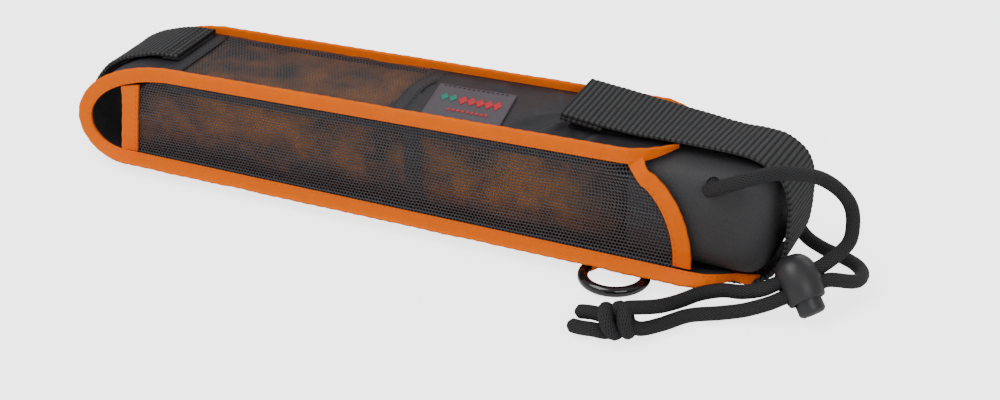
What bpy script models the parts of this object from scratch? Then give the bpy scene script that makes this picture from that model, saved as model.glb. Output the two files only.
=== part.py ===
# A compact folding umbrella in its mesh carry sleeve, lying on its side.
# The sleeve's closed end is at -X, the umbrella's handle at +X, and Z is up.
# The origin is on the flat underside of the sleeve. Lengths are in metres.
import bpy
import bmesh
from math import atan2, cos, pi, radians, sin
from mathutils import Matrix, Vector

mm = 0.001

# ---- driving dimensions -------------------------------------------------------------
closed_end_x = -139 * mm        # where the sleeve's closed end stands
sleeve_length = 250 * mm        # closed end to the lowest corner of the mouth
sleeve_width = 41.8 * mm        # between the two rows of edge tape
seam_height_closed_end = 38.2 * mm   # table to the upper seam, at the closed end
seam_height_mouth = 44.4 * mm        # table to the upper seam, at the mouth
end_round_low = 24 * mm         # how far the closed end's lower curve runs in
end_round_high = 47 * mm        # how far its upper curve runs in
end_tip_height = 17 * mm        # height of the closed end's foremost point
end_inset = 3.2 * mm            # how far the end panel lies inside the tape's fold

tape_width = 7.3 * mm           # folded edge tape, seam to fold
tape_rise = 5.8 * mm            # how far the upper tape stands above its seam
tape_thick = 1.4 * mm
tape_seam_low = 7.0 * mm        # table to the lower seam
tape_low_edge = 4.9 * mm        # table to the lower tape's fold
tape_flare = 6.3 * mm           # how far the lower tape spreads outwards
mesh_thick = 0.6 * mm
nylon_thick = 0.6 * mm
fit_gap = 0.3 * mm              # between pieces that touch
sole_half_width = 9 * mm        # flat strip that the sleeve rests on

webbing_thick = 1.4 * mm
strap_width = 30 * mm
strap_centre_y = 4.5 * mm
loop_width = 28 * mm            # belt loop's webbing
loop_centre_y = 5.5 * mm
hook_thick = 0.4 * mm           # hook-and-loop patches

handle_length = 50 * mm
handle_out = 25 * mm            # how far the handle stands out past the mouth
handle_width = 39 * mm
handle_height = 40 * mm
handle_round = 9.5 * mm
handle_floor = 5.3 * mm         # underside of the handle above the table
cord_hole_from_end = 20 * mm
cord_hole_below_top = 5.8 * mm

cord_diameter = 5.0 * mm
hole_play = 0.35 * mm           # round the cord in the handle and the lock

shaft_diameters = (12.0 * mm, 10.2 * mm, 8.4 * mm)
shaft_wall = 0.6 * mm
rib_count = 8
canopy_wall = 3.8 * mm
band_x = 4.0 * mm               # band that ties the rolled canopy
band_width = 7 * mm
band_thick = 0.35 * mm
band_room = 1.1 * mm            # between the rolled canopy and the cloth above it

ring_diameter = 25 * mm         # spring-gate ring, outside
ring_wire = 3.0 * mm
ring_height = 2.35 * mm         # wire's centre above the table

# ---- places worked out from the dimensions --------------------------------------------
mouth_x = closed_end_x + sleeve_length
half = sleeve_width / 2
tape_y = half + tape_thick / 2           # middle of the upright tape
panel_edge_y = half - fit_gap
handle_end_x = mouth_x + handle_out
handle_start_x = handle_end_x - handle_length
handle_top = handle_floor + handle_height
cord_hole_height = handle_top - cord_hole_below_top
strap_near_y = strap_centre_y - strap_width / 2
strap_far_y = strap_centre_y + strap_width / 2
bundle_y = half - 1.3 * mm               # half width of the rolled canopy
bundle_floor = 1.8 * mm                  # underside of the rolled canopy
bundle_z = 20.5 * mm                     # height of the shaft's axis
nylon_start_x = closed_end_x + 132 * mm
tail_start_x = mouth_x - 28 * mm         # where the upper tape leaves the side panel
tail_reach = 17 * mm
patch_end_x = closed_end_x + end_round_high
flap_end_x = mouth_x - 54 * mm           # free end of the closure strap
hinge_x = mouth_x + 13 * mm              # where the closure strap starts to peel
side_low = tape_seam_low + fit_gap + 0.9 * mm        # lower edge of the side panels


def seam_top(x):
    share = (x - closed_end_x) / sleeve_length
    return seam_height_closed_end + (seam_height_mouth - seam_height_closed_end) * share


def top_z(x):
    return seam_top(x) + 2.3 * mm        # middle of the top panel's cloth


# ---- small tools ----------------------------------------------------------------------
for old in list(bpy.data.objects):
    bpy.data.objects.remove(old)

parts = bpy.data.collections.new("umbrella_in_sleeve")
cutters = bpy.data.collections.new("cutters")
bpy.context.scene.collection.children.link(parts)
bpy.context.scene.collection.children.link(cutters)


def material(name, colour, roughness, metallic=0.0):
    made = bpy.data.materials.get(name)
    if made is None:
        made = bpy.data.materials.new(name)
        made.use_nodes = True
        shader = made.node_tree.nodes["Principled BSDF"]
        shader.inputs["Base Color"].default_value = (*colour, 1)
        shader.inputs["Roughness"].default_value = roughness
        shader.inputs["Metallic"].default_value = metallic
    return made


def mesh_black():
    return material("polyester_mesh_black", (0.03, 0.03, 0.032), 0.7)


def nylon_black():
    return material("nylon_cloth_black", (0.035, 0.035, 0.04), 0.55)


def tape_orange():
    return material("bias_tape_orange", (1.0, 0.2, 0.003), 0.6)


def webbing_black():
    return material("webbing_black", (0.03, 0.03, 0.032), 0.8)


def grip_grey():
    return material("handle_grey", (0.06, 0.06, 0.06), 0.65)


def plastic_black():
    return material("plastic_black", (0.045, 0.045, 0.047), 0.45)


def cord_black():
    return material("cord_black", (0.02, 0.02, 0.022), 0.8)


def place(thing, look, keep_in=parts):
    keep_in.objects.link(thing)
    thing.data.materials.append(look)
    return thing


def from_bmesh(name, work, look, keep_in=parts):
    mesh = bpy.data.meshes.new(name)
    work.to_mesh(mesh)
    work.free()
    return place(bpy.data.objects.new(name, mesh), look, keep_in)


def solidify(thing, thick, offset=0.0):
    wall = thing.modifiers.new("cloth", "SOLIDIFY")
    wall.thickness = thick
    wall.offset = offset
    wall.use_even_offset = True
    return thing


def ribbon(name, rows, thick, look):
    """A strip of cloth: an edge drawn out along rows of (one side, other side)."""
    work = bmesh.new()
    first = [work.verts.new(p) for p in rows[0]]
    edge = work.edges.new(first)
    for row in rows[1:]:
        out = bmesh.ops.extrude_edge_only(work, edges=[edge])["geom"]
        edge = next(g for g in out if isinstance(g, bmesh.types.BMEdge))
        new = {v for v in out if isinstance(v, bmesh.types.BMVert)}
        for corner, before, place_at in zip(range(2), first, row):
            link = next(v for v in new if any(e.other_vert(v) is before for e in v.link_edges))
            link.co = place_at
            first[corner] = link
    bmesh.ops.recalc_face_normals(work, faces=work.faces)
    return solidify(from_bmesh(name, work, look), thick)


def smooth(points, step):
    """Points along a smooth curve through the given ones, about one step apart."""
    points = [Vector(p) for p in points]
    ends = [2 * points[0] - points[1], *points, 2 * points[-1] - points[-2]]
    out = []
    for a, b, c, d in zip(ends, ends[1:], ends[2:], ends[3:]):
        count = max(1, round((c - b).length / step))
        for i in range(count):
            t = i / count
            out.append(0.5 * (2 * b + (c - a) * t + (2 * a - 5 * b + 4 * c - d) * t ** 2
                              + (3 * b - a - 3 * c + d) * t ** 3))
    return out + [points[-1]]


def across(path, near, far):
    """Ribbon rows for a path in the XZ plane, from one Y to the other."""
    return [((x, near, z), (x, far, z)) for x, z in path]


def tube(name, points, diameter, look, resolution=2, cyclic=False):
    line = bpy.data.curves.new(name, "CURVE")
    line.dimensions = "3D"
    line.bevel_depth = diameter / 2
    line.bevel_resolution = resolution
    line.use_fill_caps = not cyclic
    spline = line.splines.new("POLY")
    spline.points.add(len(points) - 1)
    for slot, p in zip(spline.points, points):
        slot.co = (*p, 1)
    spline.use_cyclic_u = cyclic
    return place(bpy.data.objects.new(name, line), look)


def as_mesh(thing):
    """A curve turned into a mesh with welded caps, ready to be cut."""
    bpy.context.view_layer.update()
    drawn = thing.evaluated_get(bpy.context.evaluated_depsgraph_get())
    mesh = bpy.data.meshes.new_from_object(drawn)
    work = bmesh.new()
    work.from_mesh(mesh)
    bmesh.ops.remove_doubles(work, verts=work.verts, dist=0.00001)
    bmesh.ops.recalc_face_normals(work, faces=work.faces)
    work.to_mesh(mesh)
    work.free()
    name, look, where = thing.name, thing.data.materials[0], thing.matrix_world.copy()
    bpy.data.objects.remove(thing)
    made = place(bpy.data.objects.new(name, mesh), look)
    if not mesh.materials:
        mesh.materials.append(look)
    made.matrix_world = where
    return made


def flat_outline(name, points, thick, y, look):
    """A flat XZ outline, filled, with its middle at y."""
    line = bpy.data.curves.new(name, "CURVE")
    line.dimensions = "2D"
    line.fill_mode = "BOTH"
    line.extrude = thick / 2
    spline = line.splines.new("POLY")
    spline.points.add(len(points) - 1)
    for slot, (x, z) in zip(spline.points, points):
        slot.co = (x, z, 0, 1)
    spline.use_cyclic_u = True
    made = place(bpy.data.objects.new(name, line), look)
    made.rotation_euler = (radians(90), 0, 0)
    made.location = (0, y, 0)
    return made


def drum(name, radii, x_range, look, y=0.0, z=bundle_z, sides=24, bore=None, keep_in=parts):
    """A round piece along X; radii are those at its two ends."""
    start, end = x_range
    work = bmesh.new()
    bmesh.ops.create_cone(work, cap_ends=bore is None, segments=sides, radius1=radii[0],
                          radius2=radii[1], depth=end - start)
    turn = Matrix.Rotation(radians(90), 4, "Y")
    bmesh.ops.transform(work, matrix=Matrix.Translation(((start + end) / 2, y, z)) @ turn,
                        verts=work.verts)
    made = from_bmesh(name, work, look, keep_in)
    if bore is not None:
        solidify(made, bore, -1.0)
    return made


def cut(thing, cutter):
    cutter.hide_render = True
    cutter.display_type = "WIRE"
    hole = thing.modifiers.new("cut", "BOOLEAN")
    hole.operation = "DIFFERENCE"
    hole.solver = "EXACT"
    hole.object = cutter
    return thing


# ---- sleeve -----------------------------------------------------------------------------
def end_outline(inset_low, inset_high, start=0.0, end=1.0, count=20):
    """The closed end's curve in XZ, low to high, drawn in from the tape's fold."""
    low_centre = Vector((closed_end_x + end_round_low, end_tip_height))
    high_centre = Vector((closed_end_x + end_round_high, end_tip_height))
    top = seam_top(high_centre.x) + tape_rise
    out = []
    for i in range(count + 1):
        turn = pi * (start + (end - start) * i / count)
        if turn <= pi / 2:
            inset, centre = inset_low, low_centre
            size = (end_round_low - inset, end_tip_height - inset)
        else:
            inset, centre = inset_high, high_centre
            size = (end_round_high - inset, top - end_tip_height - inset)
        out.append((centre.x - size[0] * sin(turn), centre.y - size[1] * cos(turn)))
    return out


def tape_rows(side):
    """Edge tape round one side of the sleeve: below, round the end and above."""
    rows = []
    for past in (13.0, 7.0, 0.0):            # past the mouth the near lower tape turns in
        x = mouth_x + past * mm
        turned = (past / 13.0) ** 2
        turn_in = 8.5 * mm if side < 0 else 0.0
        y = half + tape_thick - turn_in * turned
        low, high = tape_low_edge * (1 - 0.5 * turned), tape_seam_low - 1.6 * mm * turned
        rows.append(((x, side * (y + tape_flare * (1 - turned)), low), (x, side * y, high)))
    for share in (0.12, 0.35, 0.65, 0.9):
        x = mouth_x - share * (sleeve_length - end_round_low)
        y = half + tape_thick
        rows.append(((x, side * (y + tape_flare), tape_low_edge), (x, side * y, tape_seam_low)))
    fold, seam = end_outline(0, 0), end_outline(tape_width - 1.2 * mm, tape_rise)
    for i, ((fx, fz), (sx, sz)) in enumerate(zip(fold, seam)):
        ease = max(0.0, 1 - i / 9) ** 2
        y = tape_y + ease * (tape_thick / 2 + tape_flare)
        fold_at = Vector((fx, side * y, fz + ease * tape_low_edge))
        seam_at = Vector((sx, side * (tape_y + ease * tape_thick / 2), sz + ease * 0.9 * mm))
        rows.append((fold_at, seam_at))
    for share in (0.3, 0.6, 0.85, 1.0):
        x = patch_end_x + share * (tail_start_x - patch_end_x)
        z = seam_top(x)
        rows.append(((x, side * tape_y, z + tape_rise), (x, side * tape_y, z)))
    return rows


def tail_turn(x):
    """How far the near upper tape has turned in over the handle at x."""
    share = max(0.0, (x - tail_start_x) / tail_reach)
    return 13 * mm * share ** 2


def mouth_tail(side):
    """The upper tape past the mouth's top corner, down to its tapered end."""
    rows = []
    reach = tail_reach if side < 0 else 14 * mm
    for i in range(1, 5):
        share = i / 4
        x = tail_start_x + reach * share
        turned_in = tail_turn(x) if side < 0 else 0.0
        z = seam_top(x) + (2.6 * mm if side < 0 else -0.5 * mm) * share ** 2
        tall = tape_rise * (1 - 0.75 * share ** 2)
        y = side * (tape_y - turned_in)
        rows.append(((x, y, z + tall), (x, y, z)))
    return rows


def edge_tape(name, side):
    return ribbon(name, tape_rows(side) + mouth_tail(side), tape_thick, tape_orange())


def window_edge(x_low, x_high, count=4):
    """A window tape's edge: its X at each height between the two seams."""
    high = seam_top(closed_end_x + 25 * mm) - 6.4 * mm
    return [(x_low + (x_high - x_low) * i / count, side_low + (high - side_low) * i / count)
            for i in range(count + 1)]


window_left_x = closed_end_x + 18.6 * mm
window_tape = 7.2 * mm
window_lean = 2.7 * mm          # how far the window tape leans from bottom to top


def window_binding(name, side):
    left = window_edge(window_left_x, window_left_x + window_lean)
    right = window_edge(window_left_x + window_tape, window_left_x + window_tape + window_lean)
    rows = [((ax, side * tape_y, az), (bx, side * tape_y, bz + (0.9 * mm) * i / len(left)))
            for i, ((ax, az), (bx, bz)) in enumerate(zip(left, right))]
    return ribbon(name, rows, tape_thick, tape_orange())


mouth_round = 29.4 * mm         # how far the mouth's curve runs back
mouth_tape = 6.6 * mm


def mouth_curve(inset, count=10):
    """The mouth's curved edge, bottom to top, drawn in from its fold."""
    tall = seam_height_mouth - side_low + 2.6 * mm
    out = []
    for i in range(count + 1):
        turn = radians(66) * i / count
        x = mouth_x - mouth_round + (mouth_round - inset) * cos(turn)
        z = side_low + (tall - inset) * sin(turn)
        out.append((x, min(z, seam_top(x) - fit_gap - 0.2 * mm)))
    return out


def mouth_binding(name, side):
    rows = [((ax, side * tape_y, az), (bx, side * tape_y, bz))
            for (ax, az), (bx, bz) in zip(mouth_curve(0), mouth_curve(mouth_tape))]
    return ribbon(name, rows, tape_thick, tape_orange())


def mesh_side(name, side):
    gap = fit_gap
    right = [(x - gap, z) for x, z in mouth_curve(mouth_tape)]
    left = window_edge(window_left_x + window_tape, window_left_x + window_tape + window_lean)
    left = [(x + gap, z) for x, z in left]
    roof = [(px, pz - gap - 0.3 * mm) for px, pz in end_outline(0, tape_rise, 0.72, 1.0, 6)]
    roof = [(px, pz) for px, pz in roof if px > left[-1][0] + 1 * mm]
    points = [(left[0][0], side_low)] + right + roof[::-1] + left[::-1][:-1]
    points = [p for i, p in enumerate(points) if p not in points[:i]]
    return flat_outline(name, points, mesh_thick, side * tape_y, mesh_black())


def top_mesh():
    path = [(x, top_z(x)) for x in (patch_end_x + fit_gap, nylon_start_x - fit_gap)]
    return ribbon("top_mesh_panel", across(path, -panel_edge_y, panel_edge_y), mesh_thick,
                  mesh_black())


def top_nylon():
    """Black nylon over the mouth half of the top, narrower past the mouth."""
    rows = []
    for x in (nylon_start_x, tail_start_x):
        rows.append(((x, -panel_edge_y, top_z(x)), (x, panel_edge_y, top_z(x))))
    for share in (0.3, 0.6, 0.8, 1.0):
        x = tail_start_x + share * tail_reach
        near = -panel_edge_y + tail_turn(x) + 2 * fit_gap * share
        z = max(top_z(x), handle_top + fit_gap + nylon_thick / 2)
        rows.append(((x, near, z), (x, panel_edge_y - 4 * mm * share, z)))
    return ribbon("top_nylon_panel", rows, nylon_thick, nylon_black())


def bottom_panel():
    """The sleeve's underside: a flat sole that curves up to both lower seams."""
    start, end = closed_end_x + end_round_low + fit_gap, mouth_x
    half_cloth = nylon_thick / 2
    section = [(panel_edge_y, tape_seam_low - half_cloth), (half * 17 / 20.9, 6.3 * mm),
               (half * 13.3 / 20.9, 4.4 * mm), (half * 11.2 / 20.9, 1.6 * mm),
               (sole_half_width, half_cloth)]
    section = [(-y, z) for y, z in section] + [(y, z) for y, z in reversed(section)]
    rows = [((start, y, z), (end, y, z)) for y, z in section]
    return ribbon("bottom_panel", rows, nylon_thick, nylon_black())


def end_panel():
    """Nylon round the closed end, from the sole to the top mesh."""
    low = closed_end_x + end_round_low
    path = [(low, end_inset)] + end_outline(end_inset, end_inset, 0.06, 0.97, 14)
    path.append((patch_end_x, top_z(patch_end_x)))
    return ribbon("end_panel", across(path, -panel_edge_y, panel_edge_y), nylon_thick,
                  nylon_black())


# ---- webbing, patches and label ------------------------------------------------------------
loop_shape = [(38.5, 43.6), (29, 43.1), (21, 41.1), (13.5, 38.4), (7, 34.4), (2, 29), (-2, 22),
              (-4, 15), (-3, 10), (1, 6.6), (6.5, 5.2), (11.5, 4.0)]


def belt_loop():
    """Webbing that stands off the closed end: from the top hem round to the sole."""
    path = [(closed_end_x + x * mm, 0, z * mm) for x, z in loop_shape]
    path = [(p.x, p.z) for p in smooth(path, 5 * mm)]
    near, far = loop_centre_y - loop_width / 2, loop_centre_y + loop_width / 2
    return ribbon("belt_loop", across(path, near, far), webbing_thick, webbing_black())


def belt_loop_hem():
    """The loop's end, turned under and sewn to the patch."""
    x = closed_end_x + 38.5 * mm
    near, far = loop_centre_y - loop_width / 2, loop_centre_y + loop_width / 2
    floor = top_z(x) + nylon_thick / 2 + fit_gap
    roof = 43.6 * mm - webbing_thick / 2 - fit_gap
    thick = min(webbing_thick, roof - floor)
    path = [(x - 7 * mm, roof - thick / 2 - 0.2 * mm), (x, roof - thick / 2)]
    return ribbon("belt_loop_hem", across(path, near, far), thick * 0.8, webbing_black())


def strap_rest_z():
    """Middle of the strap where it lies on the handle or on the top panel's end."""
    return max(handle_top + fit_gap + webbing_thick / 2, top_z(mouth_x - 11 * mm) - 0.13 * mm)


def flap_heights():
    """Rows of (x, near z, far z) down the middle of the strap's peeling part."""
    stack_x = mouth_x - 39 * mm
    stack = (top_z(stack_x) + nylon_thick / 2 + hook_thick * 2 + fit_gap * 4
             + webbing_thick * 1.5)
    over_handle = strap_rest_z()
    return [
        (flap_end_x, stack + 1.6 * mm, stack + 2.1 * mm),
        (stack_x, stack, stack + 0.6 * mm),
        (mouth_x - 27 * mm, stack - 0.8 * mm, stack - 0.9 * mm),
        (mouth_x - 11 * mm, over_handle + 3.4 * mm, over_handle + 1.2 * mm),
        (mouth_x + 3 * mm, over_handle + 3.4 * mm, over_handle - 0.4 * mm),
        (hinge_x - fit_gap, over_handle + 3.0 * mm, over_handle - 0.4 * mm),
    ]


def closure_flap():
    rows = [((x, strap_near_y, near), (x, strap_far_y, far)) for x, near, far in flap_heights()]
    return ribbon("closure_flap", rows, webbing_thick, webbing_black())


def under_flap(name, first, last, drop, inset, thick, look):
    """A layer under the flap between two of its rows."""
    rows = []
    for x, near, far in flap_heights()[first:last]:
        rows.append(((x, strap_near_y + inset, near - drop), (x, strap_far_y - inset, far - drop)))
    return ribbon(name, rows, thick, look)


def closure_strap():
    """Sewn under the mouth, it wraps the handle's end up to where it peels."""
    over = strap_rest_z()
    end = handle_end_x
    path = [
        (mouth_x + 1 * mm, 1.7, 1.7), (mouth_x + 12 * mm, 1.7, 1.7), (end - 5 * mm, 3.0, 3.0),
        (end + 1 * mm, 7.5, 7.5), (end + 4.3 * mm, 15, 15), (end + 5 * mm, 25, 25),
        (end + 4.4 * mm, 35, 34), (end + 1.4 * mm, 42.6, 40.4), (end - 5 * mm, 47.3, 44.8),
        (hinge_x, over / mm + 3.0, over / mm - 0.4),
    ]
    near = smooth([(x, strap_near_y, low * mm) for x, low, high in path], 4 * mm)
    far = smooth([(x, strap_far_y, high * mm) for x, low, high in path], 4 * mm)
    return ribbon("closure_strap", list(zip(near, far)), webbing_thick, webbing_black())


def loop_patch():
    """Loop half of the closure, sewn on the top panel under the flap."""
    lift = nylon_thick / 2 + fit_gap + hook_thick / 2
    path = [(x, top_z(x) + lift) for x in (mouth_x - 52 * mm, mouth_x - 32 * mm)]
    inset = 2 * mm
    return ribbon("loop_patch", across(path, strap_near_y + inset, strap_far_y - inset),
                  hook_thick, webbing_black())


def label():
    lift = nylon_thick / 2 + fit_gap + 0.2 * mm
    rows = []
    for near_x, far_x in ((6.2, 1.4), (37.0, 32.2)):
        rows.append(((near_x * mm, -18.5 * mm, top_z(near_x * mm) + lift),
                     (far_x * mm, 9.2 * mm, top_z(far_x * mm) + lift)))
    return ribbon("woven_label", rows, 0.4 * mm, material("label_grey", (0.17, 0.16, 0.17), 0.7))


# ---- spring-gate ring -----------------------------------------------------------------------
ring_centre = Vector((mouth_x - 26 * mm, -half - 6.4 * mm, ring_height))
ring_radius = (ring_diameter - ring_wire) / 2
gate_start, gate_end = radians(20), radians(90)
tape_loop_turn = radians(155)
catch_gap = 0.18 * mm                       # from the catch's middle to either wire's end
gate_reach = 2 * ring_radius * sin((gate_end - gate_start) / 2)      # pin to catch
gate_chord = (gate_start + gate_end) / 2 + pi / 2                    # its direction


def on_ring(turn, radius=ring_radius, z=0.0):
    return ring_centre + Vector((radius * cos(turn), radius * sin(turn), z))


def arc(start, end, count):
    return [on_ring(start + (end - start) * i / count) for i in range(count + 1)]


def catch_trim(name, start, end):
    """A block that trims a wire's end square to the line from the pin to the catch."""
    work = bmesh.new()
    bmesh.ops.create_cube(work, size=1.0)
    size = Matrix.Diagonal((end - start, 3 * ring_wire, 2 * ring_wire, 1))
    spot = Matrix.Translation(on_ring(gate_start)) @ Matrix.Rotation(gate_chord, 4, "Z")
    spot = spot @ Matrix.Translation(((start + end) / 2, 0, 0))
    bmesh.ops.transform(work, matrix=spot @ size, verts=work.verts)
    return from_bmesh(name, work, plastic_black(), cutters)


def drill_pin_hole(thing):
    pin = on_ring(gate_start)
    work = bmesh.new()
    bmesh.ops.create_cone(work, cap_ends=True, segments=16, radius1=0.75 * mm,
                          radius2=0.75 * mm, depth=ring_wire * 3)
    bmesh.ops.translate(work, verts=work.verts, vec=pin)
    return cut(thing, from_bmesh(thing.name + "_pin_hole", work, plastic_black(), cutters))


def gate_ring():
    """The ring's body: it runs from the catch round to the fork that holds the gate."""
    glossy = material("enamelled_steel_black", (0.01, 0.01, 0.011), 0.15, 0.2)
    body = as_mesh(tube("ring_body", arc(gate_end - radians(8), gate_start + 2 * pi, 36),
                        ring_wire, glossy))
    cut(body, catch_trim("ring_body_trim", gate_reach - 2 * ring_wire, gate_reach + catch_gap))
    slot = bmesh.new()
    bmesh.ops.create_cube(slot, size=1.0)
    size = Matrix.Diagonal((5.2 * mm, 5.0 * mm, 1.3 * mm, 1))
    turn = Matrix.Rotation(gate_start, 4, "Z")
    bmesh.ops.transform(slot, matrix=Matrix.Translation(on_ring(gate_start)) @ turn @ size,
                        verts=slot.verts)
    cut(body, from_bmesh("ring_fork_slot", slot, glossy, cutters))
    return drill_pin_hole(body)


def ring_gate():
    """The sprung gate: a wire arc with a flat tongue between the fork's cheeks."""
    glossy = material("enamelled_steel_black", (0.01, 0.01, 0.011), 0.15, 0.2)
    first = gate_start + radians(15.5)
    gate = as_mesh(tube("ring_gate", arc(first, gate_end + radians(8), 9), ring_wire, glossy))
    cut(gate, catch_trim("ring_gate_trim", gate_reach - catch_gap, gate_reach + 2 * ring_wire))
    tongue = bmesh.new()
    bmesh.ops.create_cube(tongue, size=1.0)
    start, end = gate_start - radians(7), first + radians(4)
    middle = on_ring((start + end) / 2, ring_radius * 0.992)
    size = Matrix.Diagonal((2.0 * mm, ring_radius * (end - start), 0.7 * mm, 1))
    turn = Matrix.Rotation((start + end) / 2, 4, "Z")
    bmesh.ops.transform(tongue, matrix=Matrix.Translation(middle) @ turn @ size,
                        verts=tongue.verts)
    piece = from_bmesh("ring_gate_tongue", tongue, glossy, cutters)
    piece.hide_render = True
    piece.display_type = "WIRE"
    join = gate.modifiers.new("tongue", "BOOLEAN")
    join.operation = "UNION"
    join.solver = "EXACT"
    join.object = piece
    return drill_pin_hole(gate)


def gate_pin():
    work = bmesh.new()
    bmesh.ops.create_cone(work, cap_ends=True, segments=16, radius1=0.68 * mm,
                          radius2=0.68 * mm, depth=ring_wire * 0.86)
    bmesh.ops.translate(work, verts=work.verts, vec=on_ring(gate_start))
    return from_bmesh("gate_pin", work, material("steel", (0.5, 0.5, 0.5), 0.3, 1.0))


def tape_loop():
    """Orange tape round the ring's wire, sewn in under the edge tape."""
    clear = ring_wire / 2 + fit_gap + 0.25 * mm
    outward = Vector((cos(tape_loop_turn), sin(tape_loop_turn), 0))
    along = Vector((-sin(tape_loop_turn), cos(tape_loop_turn), 0))
    middle = on_ring(tape_loop_turn)
    profile = [(5.6 * mm, 2.3 * mm), (2.6 * mm, clear)]
    profile += [(clear * cos(t), clear * sin(t)) for t in
                [radians(90 + 30 * i) for i in range(7)]]
    profile += [(2.6 * mm, -clear * 0.45), (5.6 * mm, 1.3 * mm)]
    rows = []
    for out, up in profile:
        centre = middle + outward * out + Vector((0, 0, up))
        rows.append((centre - along * 2.2 * mm, centre + along * 2.2 * mm))
    return ribbon("ring_tape_loop", rows, 0.5 * mm, tape_orange())


# ---- umbrella ----------------------------------------------------------------------------------
def rounded_box(name, x_range, width, height, floor, rounding, look):
    start, end = x_range
    work = bmesh.new()
    bmesh.ops.create_cube(work, size=1.0)
    size = Matrix.Diagonal((end - start, width, height, 1))
    middle = Matrix.Translation(((start + end) / 2, 0, floor + height / 2))
    bmesh.ops.transform(work, matrix=middle @ size, verts=work.verts)
    long_edges = [e for e in work.edges if abs(e.verts[0].co.x - e.verts[1].co.x) > height / 2]
    bmesh.ops.bevel(work, geom=long_edges, offset=rounding, segments=5, profile=0.5,
                    affect="EDGES", material=-1)
    far_edges = [e for e in work.edges if all(v.co.x > end - 0.1 * mm for v in e.verts)]
    bmesh.ops.bevel(work, geom=far_edges, offset=rounding - 0.8 * mm, segments=4, profile=0.5,
                    affect="EDGES", material=-1)
    return from_bmesh(name, work, look)


hole_x = handle_end_x - cord_hole_from_end
hole_diameter = cord_diameter + 2 * hole_play
core_radius = min(12 * mm, cord_hole_height - bundle_z - cord_diameter / 2 - hole_play - 1 * mm)
socket_depth = 30 * mm


def cross_hole(thing):
    """The wrist cord's hole, straight through from side to side."""
    work = bmesh.new()
    bmesh.ops.create_cone(work, cap_ends=True, segments=20, radius1=hole_diameter / 2,
                          radius2=hole_diameter / 2, depth=handle_width * 1.4)
    turn = Matrix.Translation((hole_x, 0, cord_hole_height)) @ Matrix.Rotation(radians(90), 4, "X")
    bmesh.ops.transform(work, matrix=turn, verts=work.verts)
    return cut(thing, from_bmesh(thing.name + "_cord_hole", work, grip_grey(), cutters))


def handle_grip():
    grip = rounded_box("handle_grip", (handle_start_x, handle_end_x), handle_width,
                       handle_height, handle_floor, handle_round, grip_grey())
    socket = drum("grip_socket", (core_radius, core_radius),
                  (handle_start_x - 2 * mm, handle_start_x + socket_depth), grip_grey(),
                  sides=32, keep_in=cutters)
    cut(grip, socket)
    return cross_hole(grip)


def handle_core():
    """The plug inside the grip that the widest shaft tube is fixed in."""
    core = drum("handle_core", (core_radius - fit_gap, core_radius - fit_gap),
                (handle_start_x + 1 * mm, handle_start_x + socket_depth - fit_gap),
                plastic_black(), sides=32)
    bore = shaft_diameters[0] / 2 + fit_gap
    socket = drum("core_socket", (bore, bore),
                  (handle_start_x - 2 * mm, handle_start_x + 24 * mm), plastic_black(),
                  keep_in=cutters)
    return cut(core, socket)


def shaft():
    steel = material("shaft_metal", (0.5, 0.5, 0.52), 0.35, 1.0)
    start = closed_end_x + 40 * mm
    for i, (name, diameter) in enumerate(zip(("outer", "middle", "inner"), shaft_diameters)):
        ends = (start - 7 * mm * i, handle_start_x + 22 * mm - 4 * mm * i)
        drum(f"shaft_{name}_tube", (diameter / 2, diameter / 2), ends, steel, bore=shaft_wall)


def hub_with_bore(name, radius, x_range, bore_radius):
    start, end = x_range
    hub = drum(name, (radius, radius), x_range, plastic_black())
    bore = drum(name + "_bore", (bore_radius, bore_radius), (start - 2 * mm, end + 2 * mm),
                plastic_black(), keep_in=cutters)
    return cut(hub, bore)


crown_x = closed_end_x + 21 * mm
runner_x = handle_start_x - 24 * mm


def crown_and_runner():
    hub_with_bore("top_crown", 9.5 * mm, (crown_x, crown_x + 9 * mm),
                  shaft_diameters[2] / 2 + fit_gap)
    hub_with_bore("runner", 9.5 * mm, (runner_x, runner_x + 18 * mm),
                  shaft_diameters[0] / 2 + fit_gap)


def tip_cap():
    """The domed cap on the umbrella's top, turned round the shaft's axis."""
    profile = [(0.0, 0.0), (6.0, 0.6), (11.0, 2.6), (13.7, 6.0), (14.4, 10.0), (0.0, 10.0)]
    mesh = bpy.data.meshes.new("tip_cap")
    points = [(r * mm, 0, -x * mm) for r, x in profile]
    mesh.from_pydata(points, [(i, i + 1) for i in range(len(points) - 1)], [])
    made = place(bpy.data.objects.new("tip_cap", mesh), plastic_black())
    turned = made.modifiers.new("turn", "SCREW")
    turned.steps = turned.render_steps = 28
    turned.use_merge_vertices = True
    turned.merge_threshold = 0.00001
    turned.use_normal_calculate = True
    turned.use_normal_flip = True
    made.rotation_euler = (0, radians(-90), 0)
    made.location = (crown_x - 10.4 * mm, 0, bundle_z)
    return made


def ribs():
    """Folded main ribs, with a stretcher under each, all round the shaft."""
    steel = material("rib_metal", (0.35, 0.35, 0.36), 0.4, 1.0)
    rib_out, stretcher_out = 11.2 * mm, 8.0 * mm
    rib_start = crown_x + 10 * mm
    for i in range(rib_count):
        turn = 2 * pi * (i + 0.5) / rib_count
        for name, out, start, end in (
                (f"rib_{i + 1}", rib_out, rib_start, runner_x + 14 * mm),
                (f"stretcher_{i + 1}", stretcher_out, rib_start + 45 * mm, runner_x - 2 * mm)):
            work = bmesh.new()
            bmesh.ops.create_cube(work, size=1.0)
            size = Matrix.Diagonal((end - start, 2.4 * mm, 2.2 * mm, 1))
            spot = Matrix.Translation(((start + end) / 2, 0, bundle_z))
            spot = spot @ Matrix.Rotation(turn, 4, "X") @ Matrix.Translation((0, 0, out))
            bmesh.ops.transform(work, matrix=spot @ size, verts=work.verts)
            from_bmesh(name, work, steel)


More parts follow.
